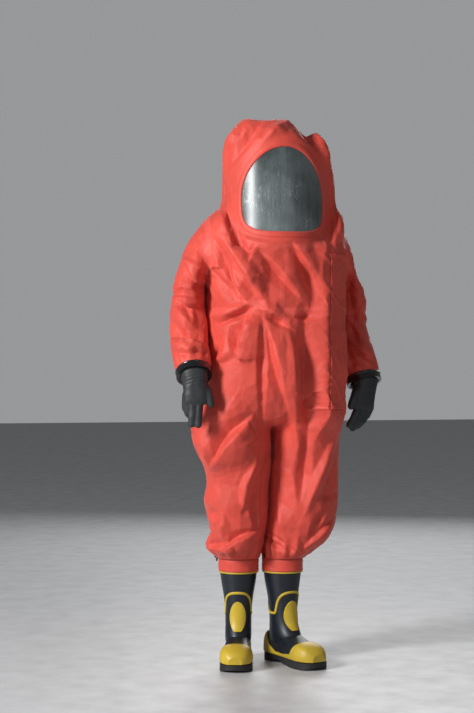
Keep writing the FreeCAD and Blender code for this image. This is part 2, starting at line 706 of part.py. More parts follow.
def make_belt():
    _, middle, half, front, back = trunk_half_width(BELT_Z)
    centre = Vector(middle, (front + back) / 2, BELT_Z - 19)
    depth = (back - front) / 2
    outer = ring(centre, X_AXIS, Y_AXIS, half - 20, depth - 20, 2.25)
    inner = ring(centre, X_AXIS, Y_AXIS, half - 22, depth - 22, 2.25)
    belt = loft([outer, lifted(outer, 38)]).cut(loft([inner, lifted(inner, 38)]))
    gap = box(middle - 34, middle + 34, -260, -100, BELT_Z - 30, BELT_Z + 30)
    save("waist_belt", biggest(belt.cut(gap)))
    y0 = front + 21.5
    female = box(middle - 34, middle + 2, y0 - 5, y0 + 9, BELT_Z - 22, BELT_Z + 22)
    slot = box(middle - 24, middle + 3, y0 - 1.5, y0 + 5.5, BELT_Z - 15, BELT_Z + 15)
    male = box(middle + 8, middle + 34, y0 - 5, y0 + 9, BELT_Z - 22, BELT_Z + 22)
    prongs = [box(middle - 20, middle + 9, y0, y0 + 4, z, z + 6) for z in (BELT_Z - 14, BELT_Z + 8)]
    save("belt_buckle", female.cut(slot), male.fuse(prongs[0]).fuse(prongs[1]))


# ---------------------------------------------------------------- assembly

RIGHT_ELBOW = Vector(-287, 28, 1156)
RIGHT_WRIST = Vector(-288, -104, 984)
LEFT_ELBOW = Vector(277, 34, 1150)
LEFT_WRIST = Vector(303, -46, 962)


def main():
    make_body_and_hood()
    make_visor()
    make_zip()
    make_flap()
    make_valves()
    make_belt()
    make_leg("right", RIGHT_LEG)
    make_leg("left", LEFT_LEG)
    make_boot("right", Vector(-108, 36, 0), -15.0)
    make_boot("left", Vector(42, 18, 0), 21.0)
    make_sleeve("right", -1, RIGHT_ELBOW, RIGHT_WRIST, RIGHT_SHOULDER_ROWS, RIGHT_FOREARM_ROWS)
    make_sleeve("left", 1, LEFT_ELBOW, LEFT_WRIST, LEFT_SHOULDER_ROWS, LEFT_FOREARM_ROWS)
    make_glove("right", RIGHT_WRIST, unit(RIGHT_WRIST - RIGHT_ELBOW),
               unit(Vector(0.05, -0.25, -1.0)), unit(Vector(1.0, -0.15, 0.0)))
    make_glove("left", LEFT_WRIST, unit(LEFT_WRIST - LEFT_ELBOW),
               unit(Vector(-0.17, -0.22, -1.0)), unit(Vector(-1.0, -0.35, 0.0)))


main()
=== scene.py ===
"""Looks of a gas-tight chemical protective suit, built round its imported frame.

Metres, in the frame of the CAD: +Z is up, the wearer faces -Y and the wearer's left is +X.
"""
import json
import math

import bmesh
import bpy
import numpy as np
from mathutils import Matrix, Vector, noise
from mathutils.bvhtree import BVHTree
from mathutils.kdtree import KDTree


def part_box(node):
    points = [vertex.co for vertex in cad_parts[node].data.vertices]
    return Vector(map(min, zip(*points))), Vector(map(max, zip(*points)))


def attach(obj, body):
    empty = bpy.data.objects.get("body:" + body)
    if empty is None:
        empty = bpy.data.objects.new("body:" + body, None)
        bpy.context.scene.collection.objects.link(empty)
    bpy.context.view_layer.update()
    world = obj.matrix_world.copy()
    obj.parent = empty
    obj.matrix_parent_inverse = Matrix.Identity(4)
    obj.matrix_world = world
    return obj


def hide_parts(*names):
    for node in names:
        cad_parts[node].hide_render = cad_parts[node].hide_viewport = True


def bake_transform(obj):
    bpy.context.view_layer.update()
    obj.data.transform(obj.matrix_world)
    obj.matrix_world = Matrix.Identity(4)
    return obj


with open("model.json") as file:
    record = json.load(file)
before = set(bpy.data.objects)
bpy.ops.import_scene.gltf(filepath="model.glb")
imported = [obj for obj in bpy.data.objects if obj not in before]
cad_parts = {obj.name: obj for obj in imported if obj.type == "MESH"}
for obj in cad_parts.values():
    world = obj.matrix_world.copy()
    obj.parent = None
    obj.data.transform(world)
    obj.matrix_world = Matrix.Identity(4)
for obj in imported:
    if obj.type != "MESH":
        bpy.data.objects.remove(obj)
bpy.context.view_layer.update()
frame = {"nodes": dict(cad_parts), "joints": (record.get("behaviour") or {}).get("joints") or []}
SCENE = bpy.context.scene

# ------------------------------------------------------------------ camera, light and floor

CAMERA_AT = (-1.259, -5.355, 1.028)
CAMERA_TURN = math.radians(-12.0)
CAMERA_LENS = 82.55
WALL_GLOW, WALL_SEEN = 0.16, 0.36  # the wall's strength as a light, and as the camera sees it


def add_camera():
    data = bpy.data.cameras.new("camera")
    data.lens = CAMERA_LENS
    data.sensor_width = 36.0
    data.clip_end = 60.0
    camera = bpy.data.objects.new("camera", data)
    camera.location = CAMERA_AT
    camera.rotation_euler = (math.radians(90.0), 0.0, CAMERA_TURN)
    SCENE.collection.objects.link(camera)
    SCENE.camera = camera


def add_area(name, place, target, width, height, power):
    """A lamp that shines as a lit rectangle, turned towards a place."""
    data = bpy.data.lights.new(name, "AREA")
    data.shape = "RECTANGLE"
    data.size, data.size_y = width, height
    data.energy = power
    light = bpy.data.objects.new(name, data)
    light.location = place
    light.rotation_euler = (Vector(target) - Vector(place)).to_track_quat("-Z", "Y").to_euler()
    SCENE.collection.objects.link(light)


def add_studio():
    """Key from the wearer's right, a tall window, soft fill and back light, and a pale floor."""
    add_area("key", (-4.0, -2.1, 2.6), (0, 0, 1.0), 0.9, 1.6, 258)
    add_area("window", (0.75, -4.9, 2.0), (0, 0, 1.3), 0.5, 2.4, 15)
    add_area("fill", (3.8, -3.2, 1.8), (0, 0, 1.0), 3.0, 3.0, 7)
    add_area("back", (1.5, 4.0, 2.6), (0, 0, 1.1), 3.0, 2.4, 90)
    world = bpy.data.worlds.new("studio")
    world.use_nodes = True
    nodes, links = world.node_tree.nodes, world.node_tree.links
    wall = nodes["Background"]
    wall.inputs["Color"].default_value = (0.86, 0.88, 0.90, 1)
    path = nodes.new("ShaderNodeLightPath")
    level = nodes.new("ShaderNodeMapRange")
    level.inputs["To Min"].default_value = WALL_GLOW
    level.inputs["To Max"].default_value = WALL_SEEN
    links.new(path.outputs["Is Camera Ray"], level.inputs["Value"])
    links.new(level.outputs["Result"], wall.inputs["Strength"])
    SCENE.world = world
    SCENE.view_settings.view_transform = "Standard"
    bpy.ops.mesh.primitive_plane_add(size=40, location=(0, 0, 0))
    floor = bpy.context.object
    floor.name = "floor"
    floor.data.materials.append(finish("floor_paint", (0.60, 0.61, 0.62), 0.45))


# ------------------------------------------------------------------ materials


class Shader:
    """A short way to write a node material."""

    def __init__(self, name):
        self.material = bpy.data.materials.new(name)
        self.material.use_nodes = True
        self.nodes = self.material.node_tree.nodes
        self.links = self.material.node_tree.links
        self.main = self.nodes["Principled BSDF"]
        self.place = self.add("ShaderNodeTexCoord").outputs["Object"]

    def add(self, kind, **values):
        node = self.nodes.new(kind)
        for key, value in values.items():
            setattr(node, key, value)
        return node

    def put(self, socket, value):
        if isinstance(value, bpy.types.NodeSocket):
            self.links.new(value, socket)
        elif isinstance(value, (tuple, list)) and len(value) == 3 and socket.type == "RGBA":
            socket.default_value = (*value, 1.0)
        else:
            socket.default_value = value

    def set(self, **values):
        for key, value in values.items():
            self.put(self.main.inputs[key.replace("_", " ")], value)

    def math(self, operation, a, b=0.0):
        node = self.add("ShaderNodeMath", operation=operation)
        self.put(node.inputs[0], a)
        self.put(node.inputs[1], b)
        return node.outputs[0]

    def noise(self, scale, detail=3.0, roughness=0.55, vector=None, distortion=0.0):
        node = self.add("ShaderNodeTexNoise")
        self.put(node.inputs["Vector"], vector or self.place)
        node.inputs["Scale"].default_value = scale
        node.inputs["Detail"].default_value = detail
        node.inputs["Roughness"].default_value = roughness
        node.inputs["Distortion"].default_value = distortion
        return node.outputs["Fac"]

    def stretch(self, x, y, z, turn):
        node = self.add("ShaderNodeMapping")
        self.put(node.inputs["Vector"], self.place)
        node.inputs["Scale"].default_value = (x, y, z)
        node.inputs["Rotation"].default_value = turn
        return node.outputs["Vector"]

    def wave(self, scale, direction, distortion=0.0):
        node = self.add("ShaderNodeTexWave", bands_direction=direction)
        self.put(node.inputs["Vector"], self.place)
        node.inputs["Scale"].default_value = scale
        node.inputs["Distortion"].default_value = distortion
        return node.outputs["Fac"]

    def spread(self, value, low, high, out_low=0.0, out_high=1.0):
        node = self.add("ShaderNodeMapRange")
        self.put(node.inputs["Value"], value)
        keys = ("From Min", "From Max", "To Min", "To Max")
        for key, number in zip(keys, (low, high, out_low, out_high)):
            node.inputs[key].default_value = number
        return node.outputs["Result"]

    def mix(self, share, a, b):
        node = self.add("ShaderNodeMix", data_type="RGBA")
        self.put(node.inputs["Factor"], share)
        self.put(node.inputs[6], a)
        self.put(node.inputs[7], b)
        return node.outputs[2]

    def bump(self, height, strength, distance, under=None):
        node = self.add("ShaderNodeBump")
        node.inputs["Strength"].default_value = strength
        node.inputs["Distance"].default_value = distance
        self.put(node.inputs["Height"], height)
        if under:
            self.put(node.inputs["Normal"], under)
        return node.outputs["Normal"]


def finish(name, colour, roughness):
    """A plain finish with a little variation in colour, gloss and surface."""
    s = Shader(name)
    cloud = s.noise(9.0, 4.0)
    s.set(Base_Color=s.mix(s.spread(cloud, 0.35, 0.7), colour, tinted(colour, 0.82)),
          Roughness=s.spread(cloud, 0.3, 0.7, roughness * 0.9, roughness * 1.12),
          Normal=s.bump(s.noise(420.0, 2.0), 0.12, 0.0006))
    return s.material


def tinted(colour, factor, lift=0.0):
    """The colour times a factor, lifted towards white."""
    return tuple(min(1.0, c * factor + lift) for c in colour)


def coated_cloth(name, colour, deep):
    """Coated woven cloth: a fine weave under a satin coating, scuffed in rougher streaks."""
    s = Shader(name)
    cloud = s.noise(5.0, 5.0, 0.6)
    fine = s.noise(60.0, 3.0)
    weave_a = s.wave(520.0, "Z", distortion=0.4)
    weave_b = s.wave(520.0, "X", distortion=0.4)
    weave = s.math("MULTIPLY", weave_a, weave_b)
    base = s.mix(s.spread(cloud, 0.3, 0.75), colour, deep)
    base = s.mix(s.spread(fine, 0.45, 0.8, 0.0, 0.16), base, tinted(colour, 1.25, 0.03))
    dirt = s.spread(s.noise(2.3, 6.0, 0.65), 0.58, 0.8, 0.0, 0.22)
    base = s.mix(dirt, base, tinted(deep, 0.62))
    rubbed = s.noise(26.0, 5.0, 0.7, s.stretch(1.0, 1.0, 0.22, (0.3, 0.5, 0.2)))
    rough = s.spread(cloud, 0.3, 0.7, 0.50, 0.62)
    rough = s.math("ADD", rough, s.math("MULTIPLY", s.spread(rubbed, 0.6, 0.72), 0.10))
    crease = s.math("ABSOLUTE", s.math("SUBTRACT", s.noise(17.0, 3.0, 0.5, distortion=0.5), 0.5))
    under = s.bump(s.math("SUBTRACT", 0.5, crease), 0.35, 0.012)
    tape = s.add("ShaderNodeAttribute", attribute_name="tape").outputs["Fac"]
    base = s.mix(s.math("MULTIPLY", tape, 0.30), base, tinted(colour, 1.15, 0.04))
    under = s.bump(tape, 0.5, 0.0012, under)
    s.set(Base_Color=base, Roughness=rough, Normal=s.bump(weave, 0.18, 0.0004, under),
          Sheen_Weight=0.10, Sheen_Roughness=0.5, Specular_IOR_Level=0.38)
    return s.material


CORAL = (0.73, 0.076, 0.050)
CORAL_DEEP = (0.54, 0.052, 0.034)

# ------------------------------------------------------------------ mesh helpers


def mesh_object(name, points, faces, material=None):
    mesh = bpy.data.meshes.new(name)
    mesh.from_pydata([tuple(p) for p in points], [], faces)
    mesh.update()
    mesh.polygons.foreach_set("use_smooth", [True] * len(mesh.polygons))
    if material:
        mesh.materials.append(material)
    thing = bpy.data.objects.new(name, mesh)
    SCENE.collection.objects.link(thing)
    return thing


def rows_of(collection, name, width, kind=float):
    """One property of every vertex or edge, as rows."""
    flat = np.empty(len(collection) * width, kind)
    collection.foreach_get(name, flat)
    return flat.reshape(-1, width)


def points_of(thing):
    return rows_of(thing.data.vertices, "co", 3)


def set_points(thing, points):
    thing.data.vertices.foreach_set("co", np.asarray(points, np.float32).ravel())
    thing.data.update()


def normals_of(thing):
    return rows_of(thing.data.vertices, "normal", 3)


def edges_of(thing):
    return rows_of(thing.data.edges, "vertices", 2, int)


def oval(centre, side, up, half_side, half_up, power=2.0, count=56):
    """Points round an oval; a power above two squares it off."""
    turn = np.linspace(0, 2 * math.pi, count, endpoint=False)
    c, s = np.cos(turn), np.sin(turn)
    x = np.sign(c) * np.abs(c) ** (2 / power) * half_side
    y = np.sign(s) * np.abs(s) ** (2 / power) * half_up
    return np.asarray(centre) + np.outer(x, side) + np.outer(y, up)


def fix_normals(thing):
    repair = bmesh.new()
    repair.from_mesh(thing.data)
    bmesh.ops.recalc_face_normals(repair, faces=repair.faces)
    repair.to_mesh(thing.data)
    repair.free()


def band_faces(rows, count, closed):
    """Faces between rings of points; a closed band joins its last ring to its first."""
    faces = []
    for k in range(rows if closed else rows - 1):
        m = (k + 1) % rows
        for i in range(count):
            j = (i + 1) % count
            faces.append((k * count + i, k * count + j, m * count + j, m * count + i))
    return faces


def tube(name, rings):
    """A mesh through rings of the same number of points, with flat ends."""
    rows, count = len(rings), len(rings[0])
    faces = band_faces(rows, count, False)
    faces.append(tuple(reversed(range(count))))
    faces.append(tuple(range((rows - 1) * count, rows * count)))
    thing = mesh_object(name, np.vstack(rings), faces)
    fix_normals(thing)
    return thing


def loop_band(name, rings, material):
    """A ring-shaped mesh through rings of points, the last joined to the first."""
    band = mesh_object(name, np.vstack(rings), band_faces(len(rings), len(rings[0]), True), material)
    fix_normals(band)
    return band


def between(rings, steps):
    """More rings between the given ones, on smooth curves through them."""
    rings = np.array(rings)
    ends = np.concatenate([[2 * rings[0] - rings[1]], rings, [2 * rings[-1] - rings[-2]]])
    found = []
    for k in range(1, len(ends) - 2):
        a, b, c, d = ends[k - 1:k + 3]
        for i in range(steps):
            t = i / steps
            found.append(0.5 * (2 * b + (c - a) * t + (2 * a - 5 * b + 4 * c - d) * t ** 2
                                + (3 * b - 3 * c + d - a) * t ** 3))
    return found + [rings[-1]]


def baked(thing):
    """The object with its modifiers made real."""
    graph = bpy.context.evaluated_depsgraph_get()
    mesh = bpy.data.meshes.new_from_object(thing.evaluated_get(graph))
    old = thing.data
    thing.modifiers.clear()
    thing.data = mesh
    bpy.data.meshes.remove(old)
    return thing


def joined(name, things):
    """One object from several, which are removed."""
    points, faces, base = [], [], 0
    for thing in things:
        own = points_of(thing)
        points.append(own)
        faces += [tuple(v + base for v in p.vertices) for p in thing.data.polygons]
        base += len(own)
        bpy.data.objects.remove(thing)
    return mesh_object(name, np.vstack(points), faces)


def remeshed(thing, size):
    """The object as one skin of little cubes of that size, smoothed."""
    change = thing.modifiers.new("remesh", "REMESH")
    change.mode = "VOXEL"
    change.voxel_size = size
    change.use_smooth_shade = True
    return baked(thing)


def tree_of(thing):
    return BVHTree.FromPolygons([v.co[:] for v in thing.data.vertices],
                                [tuple(f.vertices) for f in thing.data.polygons])


def relaxed(points, edges, rounds, share=0.5, held=None):
    """Points drawn towards the middle of their neighbours, apart from those held."""
    degree = np.bincount(edges.ravel(), minlength=len(points))[:, None]
    free = 1.0 if held is None else (1.0 - held)[:, None]
    for _ in range(rounds):
        total = np.zeros_like(points)
        for axis in range(3):
            total[:, axis] = (np.bincount(edges[:, 0], points[edges[:, 1], axis], len(points))
                              + np.bincount(edges[:, 1], points[edges[:, 0], axis], len(points)))
        points = points + (total / np.maximum(degree, 1) - points) * share * free
    return points


def unit(vector):
    vector = np.asarray(vector, float)
    return vector / np.linalg.norm(vector)


def smooth_step(value, low, high):
    t = np.clip((value - low) / (high - low), 0, 1)
    return t * t * (3 - 2 * t)


# ------------------------------------------------------------------ the garment's plain shape

ARMHOLE = 0.229                  # distance of each armhole's flat ring from the middle
ARMHOLE_MIDDLE = (0.010, 1.373)  # y and z of the shoulder's turning line
ARMHOLE_R = 0.108
SLEEVE_START = 0.190             # where the sleeve's tube starts, inside the trunk
PANEL = 0.2245                   # the trunk's sides are flat beyond this, behind the sleeves
HEM = 0.352
LEG_CUT = 0.665                  # where each leg's own piece starts
WAIST = 1.176                    # the inner belt's height
VIEW = (math.cos(CAMERA_TURN), math.sin(CAMERA_TURN))

# Rows of the trunk and hood: height, wearer's right, wearer's left, front, back.
TRUNK = [
    (0.800, -0.110, 0.080, -0.050, 0.050), (0.808, -0.215, 0.185, -0.105, 0.110),
    (0.836, -0.262, 0.236, -0.138, 0.145), (0.880, -0.252, 0.240, -0.164, 0.160),
    (0.940, -0.236, 0.240, -0.186, 0.172), (1.010, -0.228, 0.236, -0.196, 0.190),
    (1.090, -0.225, 0.232, -0.200, 0.212), (1.140, -0.225, 0.230, -0.200, 0.222),
    (1.178, -0.224, 0.228, -0.192, 0.220), (1.215, -0.229, 0.238, -0.203, 0.230),
    (1.270, -0.246, 0.254, -0.204, 0.236), (1.350, -0.258, 0.262, -0.204, 0.234),
    (1.430, -0.252, 0.258, -0.205, 0.218), (1.485, -0.224, 0.242, -0.206, 0.196),
    (1.530, -0.176, 0.206, -0.206, 0.172), (1.600, -0.171, 0.202, -0.204, 0.158),
    (1.676, -0.170, 0.190, -0.194, 0.146), (1.740, -0.164, 0.170, -0.178, 0.130),
    (1.786, -0.138, 0.138, -0.150, 0.100), (1.810, -0.098, 0.090, -0.118, 0.055),
    (1.820, -0.040, 0.020, -0.080, -0.008),
]
# Rows of each leg: height, middle x, middle y, half width, half depth.
LEGS = {
    "right": [(0.930, -0.115, 0.000, 0.080, 0.120), (0.870, -0.130, 0.000, 0.118, 0.150),
              (0.798, -0.140, 0.006, 0.129, 0.142), (0.740, -0.139, 0.006, 0.130, 0.136),
              (0.670, -0.121, 0.008, 0.112, 0.126),
              (0.610, -0.114, 0.012, 0.102, 0.118), (0.545, -0.121, 0.016, 0.106, 0.116),
              (0.494, -0.117, 0.020, 0.101, 0.113), (0.440, -0.112, 0.024, 0.090, 0.106),
              (0.392, -0.124, 0.030, 0.092, 0.102), (0.366, -0.114, 0.037, 0.082, 0.090),
              (0.350, -0.108, 0.040, 0.071, 0.075), (0.330, -0.108, 0.040, 0.070, 0.074)],
    "left": [(0.930, 0.100, 0.000, 0.075, 0.120), (0.870, 0.112, 0.000, 0.112, 0.150),
             (0.798, 0.118, 0.004, 0.119, 0.142), (0.740, 0.115, 0.004, 0.116, 0.134),
             (0.670, 0.111, 0.006, 0.115, 0.126),
             (0.610, 0.109, 0.008, 0.118, 0.121), (0.545, 0.109, 0.010, 0.119, 0.121),
             (0.494, 0.104, 0.012, 0.117, 0.120), (0.440, 0.092, 0.014, 0.113, 0.117),
             (0.392, 0.064, 0.017, 0.094, 0.104), (0.366, 0.052, 0.020, 0.083, 0.091),
             (0.350, 0.042, 0.022, 0.071, 0.075), (0.330, 0.042, 0.022, 0.070, 0.074)],
}
# Rows of each sleeve's shoulder: inner x, inner z, outer x, outer z, middle y, half depth.
SHOULDERS = {
    "right": [(0.2295, 1.265, 0.2295, 1.481, 0.010, 0.108), (0.2298, 1.258, 0.289, 1.398, 0.012, 0.099),
              (0.2302, 1.243, 0.318, 1.316, 0.016, 0.088), (0.2306, 1.208, 0.334, 1.238, 0.022, 0.079)],
    "left": [(0.2295, 1.265, 0.2295, 1.481, 0.010, 0.108), (0.2298, 1.256, 0.266, 1.398, 0.014, 0.101),
             (0.2302, 1.240, 0.291, 1.318, 0.020, 0.093), (0.2306, 1.205, 0.314, 1.238, 0.028, 0.086)],
}
# Rows of each forearm: share of its length, half width outwards, half width across.
FOREARMS = {
    "right": [(0.0, 0.056, 0.076), (0.32, 0.061, 0.070), (0.66, 0.063, 0.065), (0.9, 0.061, 0.061),
              (1.0, 0.057, 0.057), (1.06, 0.056, 0.056)],
    "left": [(0.0, 0.046, 0.080), (0.32, 0.051, 0.074), (0.66, 0.057, 0.067), (0.9, 0.060, 0.061),
             (1.0, 0.057, 0.057), (1.06, 0.056, 0.056)],
}
ELBOWS = {"right": (-0.287, 0.028, 1.156), "left": (0.277, 0.034, 1.150)}
WRISTS = {"right": (-0.288, -0.104, 0.984), "left": (0.303, -0.046, 0.962)}
OUTWARD = {"right": -1.0, "left": 1.0}


def trunk_rings():
    rings = []
    for z, right, left, front, back in between(TRUNK, 4):
        ring = oval(((right + left) / 2, (front + back) / 2, z), (1, 0, 0), (0, 1, 0),
                    (left - right) / 2, (back - front) / 2, 2.25, 96)
        hold = smooth_step(z, 1.10, 1.19) * (1 - smooth_step(z, 1.50, 1.56))
        limit = PANEL + (1 - hold) * 0.06
        ring[:, 0] = np.clip(ring[:, 0], -limit, limit)
        rings.append(ring)
    return rings


def leg_rings(side):
    return [oval((x, y, z), (1, 0, 0), (0, 1, 0), half_x, half_y, 2.1)
            for z, x, y, half_x, half_y in between(LEGS[side], 4)]


def arm_frame(side):
    """Start, direction, outward and across directions of the forearm."""
    elbow, wrist = np.array(ELBOWS[side]), np.array(WRISTS[side])
    along = unit(wrist - elbow)
    out = np.array([OUTWARD[side], 0, 0])
    out = unit(out - along * out.dot(along))
    across = np.array([0.0, 1.0, 0.0])
    across = unit(across - along * across.dot(along) - out * across.dot(out))
    return elbow, wrist, along, out, across


def sleeve_rings(side):
    sign = OUTWARD[side]
    rings = [oval((sign * SLEEVE_START, *ARMHOLE_MIDDLE), (0, 0, 1), (0, 1, 0), ARMHOLE_R, ARMHOLE_R)]
    for in_x, in_z, out_x, out_z, y, half in SHOULDERS[side]:
        middle = np.array([sign * (in_x + out_x) / 2, y, (in_z + out_z) / 2])
        reach = np.array([sign * (out_x - in_x) / 2, 0, (out_z - in_z) / 2])
        rings.append(oval(middle, reach, (0, 1, 0), 1.0, half))
    elbow, wrist, _, out, across = arm_frame(side)
    for share, half_out, half_across in FOREARMS[side]:
        rings.append(oval(elbow + (wrist - elbow) * share, out, across, half_out, half_across))
    return [rings[0]] + between(rings[1:], 4)


LEG_SHIFT, SLEEVE_SHIFT = 0.022, 0.030    # held apart by this much while the skin is made
SKIN_GRAIN, QUICK_GRAIN = 0.0085, 0.012   # the skin's first mesh size
CROWN_DROP = 0.038                        # the crown falls this far towards the wearer's left


def leg_shift(points):
    """How far each leg is held away from the other while the garment is joined up."""
    return np.sign(points[:, 0] + 0.006) * LEG_SHIFT * smooth_step(points[:, 2], 0.80, 0.73)


def sleeve_shift(points):
    """How far each sleeve below its shoulder is held away from the trunk."""
    drop = smooth_step(points[:, 2], 1.262, 1.232)
    return np.sign(points[:, 0]) * SLEEVE_SHIFT * drop


def joined_garment():
    """Trunk, hood, legs and sleeves as one closed skin."""
    parts = [tube("trunk", trunk_rings())]
    for side in ("right", "left"):
        leg = tube(side + "_leg", leg_rings(side))
        points = points_of(leg)
        points[:, 0] += OUTWARD[side] * LEG_SHIFT * smooth_step(points[:, 2], 0.80, 0.73)
        set_points(leg, points)
        sleeve = tube(side + "_sleeve", sleeve_rings(side))
        points = points_of(sleeve)
        points[:, 0] += sleeve_shift(points)
        set_points(sleeve, points)
        parts += [leg, sleeve]
    garment = remeshed(joined("garment", parts), SKIN_GRAIN)
    points, edges = points_of(garment), edges_of(garment)
    points = relaxed(points, edges, 6)
    crown = points[:, 2] > 1.70
    points[crown, 2] -= (CROWN_DROP * smooth_step(points[crown, 0], 0.035, 0.10)
                         * smooth_step(points[crown, 2], 1.70, 1.80))
    sleeve = (np.abs(points[:, 0]) > 0.236) & (points[:, 2] > 0.93) & (points[:, 2] < 1.27)
    away = smooth_step(np.abs(points[:, 0]), 0.236, 0.246)
    points[:, 0] -= np.where(sleeve, sleeve_shift(points) * away, 0.0)
    low = points[:, 2] < 0.80
    points[:, 0] -= np.where(low, leg_shift(points), 0.0)
    set_points(garment, points)
    return garment


# ------------------------------------------------------------------ the visor's place

LENS_LOW, LENS_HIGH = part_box("visor_lens")
VISOR_HEIGHT = LENS_HIGH.z - LENS_LOW.z
VISOR_HALF = (LENS_HIGH.x - LENS_LOW.x) / 2
VISOR_RADIUS = 0.178
VISOR_FRONT = -0.214
VISOR_LEAN = math.radians(5.0)
VISOR_MIDDLE = LENS_LOW.z + 0.40 * VISOR_HEIGHT


def visor_y(x, z, out=0.0):
    """Where the bent, leaning visor stands at a place seen from the front."""
    deep = VISOR_RADIUS - np.sqrt(np.maximum(VISOR_RADIUS ** 2 - np.asarray(x) ** 2, 1e-6))
    return VISOR_FRONT - out + (z - LENS_LOW.z) * math.tan(VISOR_LEAN) + deep / math.cos(VISOR_LEAN)


def visor_outline(grow, turn):
    """x and z on the outline, an arch on a flat sill with round corners."""
    c, s = np.cos(turn), np.sin(turn)
    power = np.where(s >= 0, 1.0, 0.52)
    x = np.sign(c) * np.abs(c) ** power * (VISOR_HALF + grow)
    up = s * (VISOR_HEIGHT * 0.60 + grow)
    down = -np.abs(s) ** power * (VISOR_HEIGHT * 0.40 + grow)
    return x, VISOR_MIDDLE + np.where(s >= 0, up, down)


def outline_loop(grow, count=360):
    turn = np.linspace(0, 2 * math.pi, 4 * count, endpoint=False)
    x, z = visor_outline(grow, turn)
    step = np.hypot(np.diff(x, append=x[0]), np.diff(z, append=z[0]))
    length = np.concatenate([[0], np.cumsum(step)])
    even = np.linspace(0, length[-1], count, endpoint=False)
    x, z = np.append(x, x[0]), np.append(z, z[0])
    return np.interp(even, length, x), np.interp(even, length, z)


def visor_distance(x, z, grow=0.0):
    """Distance outside the outline (below nought inside it), and the nearest place on it."""
    loop_x, loop_z = outline_loop(grow)
    apart = np.hypot(x[:, None] - loop_x[None], z[:, None] - loop_z[None])
    near = apart.argmin(1)
    out_x = np.roll(loop_z, -1) - np.roll(loop_z, 1)
    out_z = -(np.roll(loop_x, -1) - np.roll(loop_x, 1))
    side = (x - loop_x[near]) * out_x[near] + (z - loop_z[near]) * out_z[near]
    return apart.min(1) * np.where(side >= 0, 1, -1), loop_x[near], loop_z[near]


# ------------------------------------------------------------------ folds

